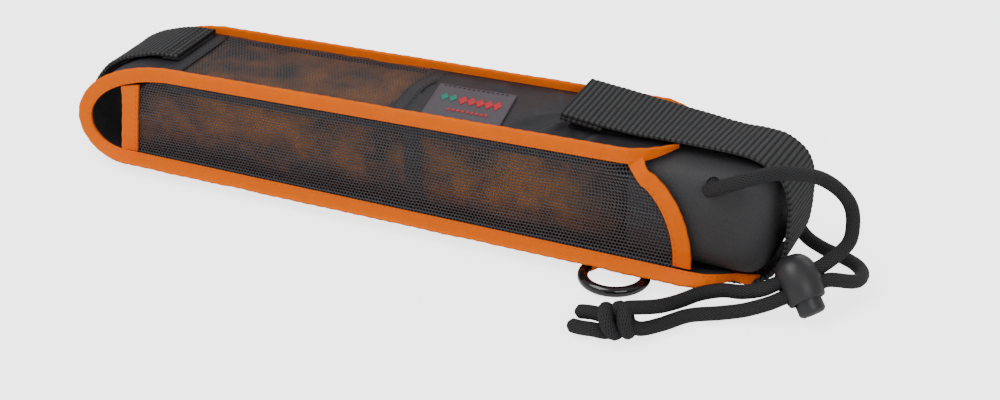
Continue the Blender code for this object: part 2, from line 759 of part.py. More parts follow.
def roof(x):
    """Middle of the cloth above the bundle, over the curved end and the top panel."""
    if x >= patch_end_x:
        return top_z(x)
    size_x = end_round_high - end_inset
    size_z = seam_top(patch_end_x) + tape_rise - end_tip_height - end_inset
    return end_tip_height + size_z * (1 - ((patch_end_x - x) / size_x) ** 2) ** 0.5


def round_bundle(name, x_range, grow, look, cuts=0):
    """An open oval tube that fills the sleeve, less the room for the tie band."""
    start, end = x_range
    work = bmesh.new()
    bmesh.ops.create_cone(work, cap_ends=False, segments=32, radius1=1.0, radius2=1.0,
                          depth=end - start)
    turn = Matrix.Translation(((start + end) / 2, 0, 0)) @ Matrix.Rotation(radians(90), 4, "Y")
    bmesh.ops.transform(work, matrix=turn, verts=work.verts)
    if cuts:
        lengths = [e for e in work.edges if abs(e.verts[0].co.x - e.verts[1].co.x) > 1 * mm]
        bmesh.ops.subdivide_edges(work, edges=lengths, cuts=cuts)
    for v in work.verts:
        tall = (roof(v.co.x) - nylon_thick / 2 - band_room - bundle_floor) / 2
        v.co.y *= bundle_y + grow
        v.co.z = v.co.z * (tall + grow) + bundle_floor + tall
    return from_bmesh(name, work, look)


def canopy():
    """The rolled canopy: a hollow bundle round the ribs, open at both ends."""
    orange = material("canopy_orange", (0.75, 0.2, 0.02), 0.6)
    ends = (crown_x + 4 * mm, handle_start_x - 1 * mm)
    return solidify(round_bundle("canopy", ends, 0.0, orange, cuts=7), canopy_wall, -1.0)


def tie_band():
    """The band that holds the rolled canopy shut."""
    ends = (band_x - band_width / 2, band_x + band_width / 2)
    band = round_bundle("tie_band", ends, fit_gap + band_thick * 0.2, nylon_black())
    return solidify(band, band_thick, 1.0)


# ---- wrist cord, lock and knot -----------------------------------------------------------------
# The cord's, lock's and knot's places are given in mm for a handle that ends at x = 136 mm;
# they move along with the handle's real end.
cord_shift = Vector((handle_end_x - 136 * mm, 0, 0))


def cord_spot(x, y, z):
    return Vector((x, y, z)) * mm + cord_shift


lock_centre = cord_spot(149.2, -21.0, 11.5)
lock_run = Vector((-0.74, -0.62, -0.26)).normalized()      # along the cords
lock_axis = Vector((0.585, -0.405, -0.702))                # towards the button
lock_axis = (lock_axis - lock_axis.dot(lock_run) * lock_run).normalized()
strand_offset = cord_diameter / 2 + 0.12 * mm

near_route = [
    (123.7, -23.5, 44.6), (131.0, -23.4, 48.4), (138.1, -18.6, 49.6), (143.8, -10.2, 46.4),
    (148.6, -1.4, 41.6), (153.9, 3.5, 36.0), (158.1, 5.0, 30.0), (159.9, 3.0, 23.7),
    (159.8, -2.6, 19.0),
]
far_route = [
    (119.6, 24.6, 36.0), (125.0, 27.4, 25.0), (131.0, 26.6, 13.0), (138.0, 23.4, 5.2),
    (145.6, 20.6, 2.8), (153.2, 17.3, 2.8), (160.2, 12.6, 3.2), (164.4, 4.6, 4.8),
    (164.4, -6.0, 7.6),
]
near_tail = [(131.5, -29.0, 8.0), (124.5, -28.2, 6.5), (117.8, -32.0, 5.6), (112.6, -40.0, 5.6),
             (108.4, -49.6, 8.0), (105.2, -55.4, 8.6)]
far_tail = [(134.4, -33.6, 4.2), (127.0, -36.9, 3.0), (117.5, -42.6, 2.8), (111.2, -51.6, 2.9),
            (107.3, -58.4, 3.6)]


def strand(name, side, route, tail, offset):
    """Half of the wrist cord: out of the handle's hole, through the lock, to the knot."""
    mid = handle_width / 2
    points = [(hole_x, side * 0.15 * mm, cord_hole_height),
              (hole_x, side * mid * 0.5, cord_hole_height),
              (hole_x, side * (mid - 2 * mm), cord_hole_height),
              (hole_x, side * (mid + 1.6 * mm), cord_hole_height)]
    points += [cord_spot(*spot) for spot in route]
    for along in (-9.5, -4.0, 2.0, 8.0, 13.0):
        points.append(lock_centre + lock_run * along * mm + lock_axis * offset)
    points += [cord_spot(*spot) for spot in tail]
    return tube(name, smooth(points, 6 * mm), cord_diameter, cord_black())


def along_lock(work):
    """Stands a piece made round Z on the lock: Z along its axis, X along the cords."""
    axes = Matrix((lock_run, lock_axis.cross(lock_run), lock_axis)).transposed()
    bmesh.ops.transform(work, matrix=Matrix.Translation(lock_centre) @ axes.to_4x4(),
                        verts=work.verts)


def cord_slot(name, start, end):
    """A cutter with round ends that lets both strands through, from start to end."""
    wide = cord_diameter + 2 * hole_play
    work = bmesh.new()
    bmesh.ops.create_cube(work, size=1.0)
    size = Matrix.Diagonal((40 * mm, wide, end - start, 1))
    bmesh.ops.transform(work, matrix=Matrix.Translation((0, 0, (start + end) / 2)) @ size,
                        verts=work.verts)
    long_edges = [e for e in work.edges if abs(e.verts[0].co.x - e.verts[1].co.x) > 10 * mm]
    bmesh.ops.bevel(work, geom=long_edges, offset=wide * 0.34, segments=3, profile=0.5,
                    affect="EDGES", material=-1)
    along_lock(work)
    return from_bmesh(name, work, plastic_black(), cutters)


stack = 2 * strand_offset + cord_diameter          # both strands, one above the other
lock_top, lock_rim, button_end = -10 * mm, 6.5 * mm, 11.5 * mm
lock_radius = 7.6 * mm
bore_radius = 5.0 * mm
bore_top = lock_top + 1.1 * mm
bore_narrows, bore_chamfer = 1.2 * mm, 1.9 * mm    # the blind end follows the dome
button_travel = 2.0 * mm


def turned(name, profile, look, keep_in=parts, sides=28):
    """A closed profile of (radius, height along the lock's axis), turned round it."""
    work = bmesh.new()
    verts = [work.verts.new((r, 0, h)) for r, h in profile]
    edges = [work.edges.new(pair) for pair in zip(verts, verts[1:])]
    bmesh.ops.spin(work, geom=verts + edges, cent=(0, 0, 0), axis=(0, 0, 1),
                   dvec=(0, 0, 0), angle=2 * pi, steps=sides, use_merge=True)
    bmesh.ops.remove_doubles(work, verts=work.verts, dist=0.000005)
    bmesh.ops.recalc_face_normals(work, faces=work.faces)
    along_lock(work)
    return from_bmesh(name, work, look, keep_in)


def lock_body():
    """A domed barrel, bored from its rim, with a slot across for both strands."""
    r = lock_radius
    profile = [(0, lock_top), (r * 0.45, lock_top + 0.5 * mm), (r * 0.8, lock_top + 2.4 * mm),
               (r, lock_top + 6 * mm), (r * 1.02, 0), (r * 0.92, lock_rim - 1.5 * mm),
               (r * 0.84, lock_rim), (bore_radius, lock_rim),
               (bore_radius, bore_top + bore_chamfer), (bore_radius - bore_narrows, bore_top),
               (0, bore_top)]
    body = turned("cord_lock_body", profile, plastic_black())
    edge = stack / 2 + hole_play
    return cut(body, cord_slot("lock_body_slot", -edge, edge))


def lock_button():
    """The plunger: its slot is longer by its travel, so the strands stay clear."""
    r = bore_radius - fit_gap
    top = -stack / 2 - 1.5 * mm
    profile = [(0, top), (r - bore_narrows, top), (r, top + 1.6 * mm),
               (r, button_end - 0.8 * mm), (r - 0.8 * mm, button_end),
               (0, button_end)]
    button = turned("cord_lock_button", profile, plastic_black())
    edge = stack / 2 + hole_play
    return cut(button, cord_slot("lock_button_slot", -edge + 0.3 * mm, edge + button_travel))


def lock_spring():
    """The coil behind the plunger, two turns in the blind end of the bore."""
    wire, radius, turns = 0.5 * mm, 3.0 * mm, 2
    low = bore_top + fit_gap
    high = -stack / 2 - 1.5 * mm - fit_gap - wire
    points = []
    for i in range(turns * 10 + 1):
        turn = 2 * pi * i / 10
        height = low + wire / 2 + (high - low) * i / (turns * 10)
        side = lock_axis.cross(lock_run)
        points.append(lock_centre + lock_run * radius * cos(turn) + side * radius * sin(turn)
                      + lock_axis * height)
    return tube("cord_lock_spring", points, wire, material("steel", (0.5, 0.5, 0.5), 0.3, 1.0))


knot_centre = cord_spot(98.9, -61.0, 6.6)


def knot():
    work = bmesh.new()
    bmesh.ops.create_uvsphere(work, u_segments=18, v_segments=10, radius=1.0)
    size = Matrix.Diagonal((6.6 * mm, 6.2 * mm, 5.9 * mm, 1))
    bmesh.ops.transform(work, matrix=Matrix.Translation(knot_centre) @ size, verts=work.verts)
    return from_bmesh("cord_knot", work, cord_black())


def cord_ends():
    """The two short ends that stand out past the knot."""
    tube("cord_end_near", [cord_spot(*spot) for spot in
                           ((91.8, -60.2, 6.2), (87.0, -59.4, 5.2), (82.4, -58.8, 4.4))],
         cord_diameter, cord_black())
    tube("cord_end_far", [cord_spot(*spot) for spot in
                          ((92.9, -66.6, 4.2), (88.0, -67.0, 3.2), (83.4, -67.4, 2.8))],
         cord_diameter, cord_black())


# ---- assembly --------------------------------------------------------------------------------------
for side, word in ((-1, "near"), (1, "far")):
    edge_tape(f"{word}_edge_tape", side)
    window_binding(f"{word}_window_tape", side)
    mouth_binding(f"{word}_mouth_tape", side)
    mesh_side(f"{word}_mesh_panel", side)
top_mesh()
top_nylon()
bottom_panel()
end_panel()
belt_loop()
belt_loop_hem()
closure_strap()
closure_flap()
under_flap("flap_hem", 0, 2, webbing_thick + fit_gap, 0.0, webbing_thick, webbing_black())
under_flap("hook_patch", 0, 2, 1.5 * webbing_thick + 2 * fit_gap + hook_thick / 2, 2 * mm,
           hook_thick, webbing_black())
loop_patch()
label()
gate_ring()
ring_gate()
gate_pin()
tape_loop()
handle_grip()
handle_core()
shaft()
crown_and_runner()
tip_cap()
ribs()
canopy()
tie_band()
strand("wrist_cord_near", -1, near_route, near_tail, -strand_offset)
strand("wrist_cord_far", 1, far_route, far_tail, strand_offset)
lock_body()
lock_button()
lock_spring()
knot()
cord_ends()
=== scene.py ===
from math import cos, exp, pi, radians, sin

import bmesh
import bpy
from mathutils import Matrix, Vector, noise


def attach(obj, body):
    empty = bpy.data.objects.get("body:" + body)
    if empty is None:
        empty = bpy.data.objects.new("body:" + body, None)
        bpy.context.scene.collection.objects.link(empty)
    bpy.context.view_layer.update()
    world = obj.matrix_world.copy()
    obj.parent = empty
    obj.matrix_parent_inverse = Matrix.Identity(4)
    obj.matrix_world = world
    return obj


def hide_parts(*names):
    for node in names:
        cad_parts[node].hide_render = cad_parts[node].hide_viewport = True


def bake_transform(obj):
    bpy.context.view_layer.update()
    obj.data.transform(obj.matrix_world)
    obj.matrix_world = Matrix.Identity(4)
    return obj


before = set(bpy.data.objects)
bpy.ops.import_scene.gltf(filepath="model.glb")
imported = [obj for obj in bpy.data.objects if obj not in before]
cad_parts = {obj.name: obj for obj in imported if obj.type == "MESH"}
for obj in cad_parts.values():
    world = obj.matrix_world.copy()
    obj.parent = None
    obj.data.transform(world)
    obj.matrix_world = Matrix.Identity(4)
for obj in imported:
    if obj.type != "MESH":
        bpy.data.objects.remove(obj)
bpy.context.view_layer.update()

mm = 0.001


# Small tools.
def linear(code):
    values = [int(code[i:i + 2], 16) / 255 for i in (1, 3, 5)]
    return (*[v / 12.92 if v <= 0.04045 else ((v + 0.055) / 1.055) ** 2.4 for v in values], 1.0)


def stand(name, data):
    thing = bpy.data.objects.new(name, data)
    bpy.context.scene.collection.objects.link(thing)
    return thing


def meshOf(work, name):
    mesh = bpy.data.meshes.new(name)
    work.to_mesh(mesh)
    work.free()
    return mesh


def addTo(work, extra):
    mesh = meshOf(extra, "extra")
    work.from_mesh(mesh)
    bpy.data.meshes.remove(mesh)


def addNode(tree, kind, links=None, values=None, **settings):
    node = tree.nodes.new(kind)
    for key, value in settings.items():
        setattr(node, key, value)
    for key, value in (values or {}).items():
        node.inputs[key].default_value = value
    for key, source in (links or {}).items():
        tree.links.new(source, node.inputs[key])
    return node


def calc(tree, operation, *terms):
    node = addNode(tree, "ShaderNodeMath", operation=operation)
    for i, term in enumerate(terms):
        if isinstance(term, bpy.types.NodeSocket):
            tree.links.new(term, node.inputs[i])
        else:
            node.inputs[i].default_value = term
    return node.outputs[0]


def plus(tree, *terms):
    return calc(tree, "ADD", *terms)


def times(tree, *terms):
    return calc(tree, "MULTIPLY", *terms)


def newLook(name, colour, roughness, **sockets):
    look = bpy.data.materials.new(name)
    look.use_nodes = True
    shader = look.node_tree.nodes["Principled BSDF"]
    shader.inputs["Base Color"].default_value = linear(colour)
    shader.inputs["Roughness"].default_value = roughness
    for key, value in sockets.items():
        shader.inputs[key.replace("_", " ")].default_value = value
    return look, look.node_tree, shader


def clothPattern(tree):
    return addNode(tree, "ShaderNodeUVMap", uv_map="cloth").outputs[0]


def splitUp(tree, where):
    return addNode(tree, "ShaderNodeSeparateXYZ", links={0: where}).outputs[:]


def clothAxes(tree):
    return splitUp(tree, clothPattern(tree))[:2]


def objectAxes(tree):
    return addNode(tree, "ShaderNodeTexCoord").outputs["Object"]


def addBump(tree, shader, height, distance):
    bump = addNode(tree, "ShaderNodeBump", links={"Height": height},
                   values={"Distance": distance, "Strength": 1.0})
    tree.links.new(bump.outputs[0], shader.inputs["Normal"])


def patches(tree, where, scale, detail=3.0, roughness=0.6):
    node = addNode(tree, "ShaderNodeTexNoise", links={"Vector": where},
                   values={"Scale": scale, "Detail": detail, "Roughness": roughness})
    return node.outputs[0]


def blendColours(tree, share, first, second):
    node = addNode(tree, "ShaderNodeMix", data_type="RGBA")
    tree.links.new(share, node.inputs[0])
    for slotAt, colour in ((6, first), (7, second)):
        if isinstance(colour, str):
            node.inputs[slotAt].default_value = linear(colour)
        else:
            tree.links.new(colour, node.inputs[slotAt])
    return node.outputs[2]


def tint(tree, shader, share, first, second):
    tree.links.new(blendColours(tree, share, first, second), shader.inputs["Base Color"])


def roughen(tree, shader, amount, spread, low):
    rough = calc(tree, "MULTIPLY_ADD", amount, spread, low)
    tree.links.new(rough, shader.inputs["Roughness"])


def waves(tree, along, pitch):
    return calc(tree, "SINE", times(tree, along, 2 * pi / pitch))


def ramp(tree, value, low, high):
    node = addNode(tree, "ShaderNodeMapRange", links={0: value}, values={1: low, 2: high})
    return node.outputs[0]


# Materials.
def makeNet():
    # Knitted polyester net: staggered round holes that let the canopy show.
    netPitch, netRow = 1.3, 1.1
    look, tree, shader = newLook("knitted polyester net", "#424246", 0.55, Specular_IOR_Level=0.5)
    u, v = clothAxes(tree)
    row = calc(tree, "FLOOR", calc(tree, "DIVIDE", v, netRow))
    shift = times(tree, calc(tree, "PINGPONG", row, 1.0), 0.5)
    across = calc(tree, "FRACT", plus(tree, calc(tree, "DIVIDE", u, netPitch), shift))
    across = calc(tree, "SUBTRACT", across, 0.5)
    up = calc(tree, "SUBTRACT", calc(tree, "FRACT", calc(tree, "DIVIDE", v, netRow)), 0.5)
    away = plus(tree, times(tree, across, across), times(tree, up, up))
    solid = ramp(tree, away, 0.125, 0.15)
    addBump(tree, shader, ramp(tree, away, 0.1, 0.3), 0.0002)
    clear = addNode(tree, "ShaderNodeBsdfTransparent")
    mixed = addNode(tree, "ShaderNodeMixShader",
                    links={0: solid, 1: clear.outputs[0], 2: shader.outputs[0]})
    tree.links.new(mixed.outputs[0], tree.nodes["Material Output"].inputs[0])
    return look


def makeNylon():
    # Plain-woven nylon: a tight weave with a soft sheen that breaks up along the folds.
    look, tree, shader = newLook("plain woven nylon", "#1C1C1F", 0.5, Specular_IOR_Level=0.4)
    both = clothPattern(tree)
    u, v, _ = splitUp(tree, both)
    weave = times(tree, waves(tree, u, 0.5), waves(tree, v, 0.5))
    worn = patches(tree, both, 0.12)
    tint(tree, shader, worn, "#1C1C1F", "#303036")
    roughen(tree, shader, worn, 0.25, 0.38)
    addBump(tree, shader, weave, 0.00006)
    return look


def makeTape():
    # Folded polyester bias tape: fine diagonal twill, bright orange, a little darker in patches.
    look, tree, shader = newLook("bias tape twill", "#FC7000", 0.8, Specular_IOR_Level=0.05)
    both = clothPattern(tree)
    u, v, _ = splitUp(tree, both)
    twill = waves(tree, plus(tree, u, v), 0.55)
    worn = patches(tree, both, 0.1)
    tint(tree, shader, worn, "#F86800", "#FF7A00")
    addBump(tree, shader, plus(tree, times(tree, twill, 0.5),
                               times(tree, patches(tree, both, 1.2), 1.2)), 0.00008)
    return look


def makeWebbing():
    # Ribbed polyester webbing: heavy cross ribs in the mesh, warp yarns over them as fine bumps.
    look, tree, shader = newLook("ribbed webbing", "#1B1B1D", 0.72, Specular_IOR_Level=0.3)
    u, v = clothAxes(tree)
    yarn = calc(tree, "MULTIPLY_ADD", calc(tree, "ABSOLUTE", waves(tree, u, 2.4)), 0.7, 0.3)
    rib = calc(tree, "ABSOLUTE", waves(tree, v, 4.0))
    fine = waves(tree, plus(tree, times(tree, u, 1.4), v), 0.42)
    height = plus(tree, times(tree, yarn, rib), times(tree, fine, 0.25))
    # Painted shade and highlight: the grooves between ribs and yarns are painted near black, their
    # crests painted grey.
    tint(tree, shader, times(tree, rib, yarn), "#0E0E0F", "#626264")
    addBump(tree, shader, height, 0.0005)
    return look


def makeNap():
    # Hook-and-loop fabric: a matt nap of tiny loops.
    look, tree, shader = newLook("hook and loop nap", "#101012", 0.95)
    addBump(tree, shader, patches(tree, clothPattern(tree), 2.4, 4.0), 0.0003)
    return look


def makeLabel():
    # Woven satin label: close lengthwise floats give it a silky grey band, with painted sheen on
    # the float crests and painted shade in the dips between them.
    look, tree, shader = newLook("satin woven label", "#4C474E", 0.5, Specular_IOR_Level=0.4)
    u, v = clothAxes(tree)
    floats = waves(tree, plus(tree, u, times(tree, v, 0.25)), 0.45)
    tint(tree, shader, ramp(tree, floats, -1, 1), "#433E45", "#59535A")
    addBump(tree, shader, floats, 0.00004)
    return look


def makeThread(name, colour):
    # Sewing or embroidery thread: twisted, with a slight shine.
    look, tree, shader = newLook(name, colour, 0.5, Specular_IOR_Level=0.4)
    addBump(tree, shader, patches(tree, objectAxes(tree), 1800.0), 0.00008)
    return look


def makeCanopy():
    # Rolled umbrella cloth: orange brown, with random dark brown patches of painted shade for the
    # roll's folds, and painted shade in blue grey low down, where the roll turns under.
    look, tree, shader = newLook("canopy pongee", "#9A5A10", 0.6, Specular_IOR_Level=0.3)
    where = objectAxes(tree)
    along, _, height = splitUp(tree, where)
    shadePatches = patches(tree, where, 38.0)
    lifted = plus(tree, height, times(tree, calc(tree, "SUBTRACT", shadePatches, 0.5), 0.035))
    # Painted shade: blue grey over the low part of the roll, its edge jittered by the shade
    # patches.
    low = times(tree, ramp(tree, lifted, 0.011, 0.024), ramp(tree, along, 0.086, 0.06))
    orangeAndShade = blendColours(tree, ramp(tree, shadePatches, 0.36, 0.6), "#2A1A0A", "#B86C12")
    tint(tree, shader, low, "#0E1016", orangeAndShade)
    addBump(tree, shader, patches(tree, clothPattern(tree), 0.35, 4.0), 0.0006)
    return look


def makeGrip():
    # Soft-touch moulded grip: dull dark grey with a fine grain.
    look, tree, shader = newLook("soft-touch grip", "#363638", 0.6, Specular_IOR_Level=0.4)
    where = objectAxes(tree)
    tint(tree, shader, patches(tree, where, 60.0), "#323234", "#3C3C3E")
    addBump(tree, shader, patches(tree, where, 1100.0, 2.0), 0.0003)
    return look


def makePlastic(name, colour, roughness):
    # Injection-moulded nylon: even colour, satin, a trace of moulding texture.
    look, tree, shader = newLook(name, colour, roughness)
    marks = patches(tree, objectAxes(tree), 420.0)
    roughen(tree, shader, marks, 0.16, roughness - 0.08)
    addBump(tree, shader, marks, 0.00004)
    return look


def makeCord():
    # Braided kernmantle cord: two families of yarns crossing in small diamonds.
    look, tree, shader = newLook("braided cord", "#151517", 0.75, Specular_IOR_Level=0.3)
    u, v = clothAxes(tree)
    left = waves(tree, plus(tree, u, times(tree, v, 0.6)), 0.982)
    right = waves(tree, calc(tree, "SUBTRACT", u, times(tree, v, 0.6)), 0.982)
    braid = calc(tree, "MAXIMUM", left, right)
    # Painted shade and highlight: the braid's dips are painted darker, its crossing crests lighter.
    tint(tree, shader, ramp(tree, braid, -0.6, 0.9), "#141415", "#303032")
    addBump(tree, shader, braid, 0.00014)
    return look


def makeEnamel():
    # Black enamel over steel wire: glossy, with a faint orange-peel surface.
    look, tree, shader = newLook("black enamel", "#08080A", 0.12, Coat_Weight=0.6)
    addBump(tree, shader, patches(tree, objectAxes(tree), 260.0), 0.00004)
    return look


def makeMetal(name, colour, roughness):
    # Drawn metal: fine streaks along the piece vary its gloss.
    look, tree, shader = newLook(name, colour, roughness, Metallic=1.0)
    where = addNode(tree, "ShaderNodeMapping", links={0: objectAxes(tree)},
                    values={3: (12.0, 900.0, 900.0)}).outputs[0]
    streaks = patches(tree, where, 1.0)
    roughen(tree, shader, streaks, 0.2, roughness - 0.1)
    return look


def makePaper():
    # Matt studio paper under the object; it looks blown out white yet throws no light up.
    look, tree, shader = newLook("studio paper", "#FCFCFC", 0.9)
    shader.inputs["Emission Color"].default_value = (1, 1, 1, 1)
    seen = addNode(tree, "ShaderNodeLightPath").outputs["Is Camera Ray"]
    tree.links.new(times(tree, seen, 2.6), shader.inputs["Emission Strength"])
    addBump(tree, shader, patches(tree, objectAxes(tree), 30.0), 0.00005)
    return look


net, nylon, tapeLook, webbingLook = makeNet(), makeNylon(), makeTape(), makeWebbing()
nap, labelLook, canopyLook, gripLook = makeNap(), makeLabel(), makeCanopy(), makeGrip()
moulded = makePlastic("moulded nylon", "#29292B", 0.42)
# Painted highlight: the black tip cap is coloured light grey so that it shows lit inside the dark
# closed end.
paintedHighlightCapLook = makePlastic("tip cap painted highlight grey", "#808388", 0.35)
cordLook, enamel = makeCord(), makeEnamel()
steel = makeMetal("drawn steel", "#B8B8B8", 0.3)
ribSteel = makeMetal("rib steel", "#8C8C90", 0.4)
alloy = makeMetal("shaft alloy", "#B0B0B4", 0.35)
orangeThread = makeThread("orange thread", "#E86800")
blackThread = makeThread("black thread", "#0E0E10")
coralThread = makeThread("coral thread", "#C4202A")
tealThread = makeThread("teal thread", "#14806C")
print("materials made")


# Camera.
view = dict(aim=(29.4, 0, 6.6), turn=24, tilt=28.3, away=735, lens=72, sensor=36)
turn, tilt = radians(view["turn"]), radians(view["tilt"])
back = Vector((sin(turn) * cos(tilt), -cos(turn) * cos(tilt), sin(tilt)))
lens = bpy.data.cameras.new("camera")
lens.lens, lens.sensor_width = view["lens"], view["sensor"]
eye = stand("camera", lens)
eye.location = (Vector(view["aim"]) + back * view["away"]) * mm
eye.rotation_euler = back.to_track_quat("Z", "Y").to_euler()
bpy.context.scene.camera = eye


# Building.
def finishPiece(work, name, look, body, replaced=(), sharp=50, thick=0.0):
    bmesh.ops.scale(work, vec=(mm,) * 3, verts=work.verts)
    for face in work.faces:
        face.smooth = True
    mesh = meshOf(work, name)
    mesh.set_sharp_from_angle(angle=radians(sharp))
    mesh.materials.append(look)
    piece = stand(name, mesh)
    if thick:
        wall = piece.modifiers.new("wall", "SOLIDIFY")
        wall.thickness, wall.offset = thick * mm, 0.0
    if body:
        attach(piece, body)
    if replaced:
        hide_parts(*replaced)
    return piece


def surface(across, along, place, patternAt, closed=False, capped=False):
    # place and patternAt take shares across and along, from 0 to 1; lengths in mm
    work = bmesh.new()
    layer = work.loops.layers.uv.new("cloth")
    bmesh.ops.create_grid(work, x_segments=across, y_segments=along, size=0.5)
    for face in work.faces:
        for corner in face.loops:
            corner[layer].uv = patternAt(corner.vert.co.x + 0.5, corner.vert.co.y + 0.5)
    for vert in work.verts:
        vert.co = place(vert.co.x + 0.5, vert.co.y + 0.5)
    if closed:
        bmesh.ops.remove_doubles(work, verts=work.verts, dist=0.004)
    if capped:
        bmesh.ops.holes_fill(work, edges=[e for e in work.edges if e.is_boundary], sides=0)
    bmesh.ops.recalc_face_normals(work, faces=work.faces)
    return work


def spline(points, step):
    ends = [[2 * p - q for p, q in zip(points[0], points[1])], *points,
            [2 * p - q for p, q in zip(points[-1], points[-2])]]
    out = []
    for a, b, c, d in zip(ends, ends[1:], ends[2:], ends[3:]):
        count = max(1, round(max((q - p).length for p, q in zip(b, c)) / step))
        for i in range(count):
            t = i / count
            out.append([0.5 * (2 * q + (r - p) * t + (2 * p - 5 * q + 4 * r - s) * t ** 2
                               + (3 * q - p - 3 * r + s) * t ** 3)
                        for p, q, r, s in zip(a, b, c, d)])
    return out + [list(points[-1])]


def lengthsOf(points):
    out = [0.0]
    for a, b in zip(points, points[1:]):
        out.append(out[-1] + (b - a).length)
    return out


def strip(rows, ring, step, facing, relief=None):
    # A band lofted along rows of (one edge, other edge); ring holds (share across, height).
    rows = spline([[Vector(a), Vector(b)] for a, b in rows], step)
    middles = [(a + b) / 2 for a, b in rows]
    lengths = lengthsOf(middles)
    last = len(rows) - 1
    normals = []
    for i, (a, b) in enumerate(rows):
        along = middles[min(last, i + 1)] - middles[max(0, i - 1)]
        normal = along.cross(b - a).normalized()
        normals.append(normal if normal.dot(facing(middles[i])) > 0 else -normal)
    width = max((b - a).length for a, b in rows)

    def place(u, v):
        i, j = round(v * last), round(u * len(ring)) % len(ring)
        share, height = ring[j]
        a, b = rows[i]
        lift = relief(share, lengths[i], height) if relief else 0.0
        return a + (b - a) * share + normals[i] * (height + lift)

    def patternAt(u, v):
        i, j = round(v * last), round(u * len(ring))
        share = ring[j % len(ring)][0] if j < len(ring) else 0.0
        side = 0.0 if j <= len(ring) / 2 else 1.0
        return (width * (share + side * 2 * (1 - share)) if j else 0.0, lengths[i])

    return surface(len(ring), last, place, patternAt, closed=True, capped=True), rows, normals


def upward(spot):
    return Vector((0, 0, 1))


def mirrored(ring):
    return ring + [(share, -height) for share, height in ring[::-1] if height]


def flatRing(thick):
    return mirrored([(0.0, 0.0), (0.02, thick / 2), (0.98, thick / 2), (1.0, 0.0)])


def stitches(name, rows, normals, share, lift, look, pitch=2.5, length=1.6, size=0.28):
    # Thread seen between its holes, on the sleeve, along one share of a band's width.
    line = [a + (b - a) * share + n * lift for (a, b), n in zip(rows, normals)]
    lengths = lengthsOf(line)
    work = bmesh.new()
    for k in range(int(lengths[-1] / pitch)):
        spot = (k + 0.5) * pitch
        i = max(1, next((n for n, far in enumerate(lengths) if far > spot), len(line) - 1))
        run = (line[i] - line[i - 1]).normalized()
        up = normals[i]
        centre = line[i - 1] + run * (spot - lengths[i - 1])
        axes = Matrix((run, up.cross(run).normalized(), up)).transposed().to_4x4()
        bmesh.ops.create_icosphere(work, subdivisions=1, radius=1.0,
                                   matrix=Matrix.Translation(centre) @ axes @ Matrix.Diagonal(
                                       (length / 2, size, size * 0.8, 1)))
    finishPiece(work, name, look, "sleeve", sharp=80)


def roundTube(points, radiusAt, sides=14):
    # Rings carried along the line without twist; the pattern runs round and along in mm.
    lengths = lengthsOf(points)
    last = len(points) - 1
    rings, side = [], None
    for i, p in enumerate(points):
        run = (points[min(last, i + 1)] - points[max(0, i - 1)]).normalized()
        side = run.orthogonal().normalized() if side is None else (
            side - run * side.dot(run)).normalized()
        rings.append((p, side.copy(), run.cross(side)))

    def place(u, v):
        i = round(v * last)
        centre, one, two = rings[i]
        angle = 2 * pi * (round(u * sides) % sides) / sides
        radius = radiusAt(lengths[i], lengths[-1])
        return centre + (one * cos(angle) + two * sin(angle)) * radius

    def patternAt(u, v):
        return (u * 2 * pi * 2.5, lengths[round(v * last)])

    return surface(sides, last, place, patternAt, closed=True, capped=True)


# Wrist cord.
cord = dict(diameter=5.0, holeX=116.0, holeZ=39.5, mid=19.5, offset=2.62, step=1.1)
lockCentre = Vector((149.2, -21.0, 11.5))
lockRun = Vector((-0.74, -0.62, -0.26)).normalized()
lockAxis = Vector((0.585, -0.405, -0.702))
lockAxis = (lockAxis - lockAxis.dot(lockRun) * lockRun).normalized()
lockSide = lockAxis.cross(lockRun)
nearRoute = [(123.7, -23.5, 44.6), (131.0, -23.4, 48.4), (138.1, -18.6, 49.6),
             (143.8, -10.2, 46.4), (148.6, -1.4, 41.6), (153.9, 3.5, 36.0), (158.1, 5.0, 30.0),
             (159.9, 3.0, 23.7), (159.8, -2.6, 19.0)]
farRoute = [(119.6, 24.6, 36.0), (125.0, 27.4, 25.0), (131.0, 26.6, 13.0), (138.0, 23.4, 5.2),
            (145.6, 20.6, 2.8), (153.2, 17.3, 2.8), (160.2, 12.6, 3.2), (164.4, 4.6, 4.8),
            (164.4, -6.0, 7.6)]
nearTail = [(131.5, -29.0, 8.0), (124.5, -28.2, 6.5), (117.8, -32.0, 5.6), (112.6, -40.0, 5.6),
            (108.4, -49.6, 8.0)]
farTail = [(134.4, -33.6, 4.2), (127.0, -36.9, 3.0), (117.5, -42.6, 2.8), (111.2, -51.6, 2.9)]
knot = dict(centre=Vector((98.9, -61.0, 6.6)), along=Vector((-0.906, -0.418, -0.07)).normalized(),
            ring=4.1)


def knotTurn(start, spin, sFrom, sTo, count=9):
    up = Vector((0, 0, 1))
    up = (up - up.dot(knot["along"]) * knot["along"]).normalized()
    out = knot["along"].cross(up)
    points = []
    for i in range(count):
        angle = radians(start) + spin * 2 * pi * i / (count - 1) * 0.95
        s = sFrom + (sTo - sFrom) * i / (count - 1) + 1.7 * cos(angle + 0.8)
        points.append(knot["centre"] + knot["along"] * s
                      + (up * cos(angle) + out * sin(angle)) * knot["ring"])
    return points


def strandPoints(side, route, tail, through):
    mid, x, z = cord["mid"], cord["holeX"], cord["holeZ"]
    points = [(x, side * y, z) for y in (0.15, mid * 0.5, mid - 2, mid + 1.6)] + route
    points += [lockCentre + lockRun * s + lockAxis * side * cord["offset"]
               for s in (-9.5, -4.0, 2.0, 8.0, 13.0)]
    points += tail + through
    return [p[0] for p in spline([[Vector(p)] for p in points], cord["step"])]


def cordRadius(at, total):
    radius = cord["diameter"] / 2
    left = total - at
    return radius if left > 1.6 else radius * max(0.25, 1 - (1 - left / 1.6) ** 2) ** 0.5


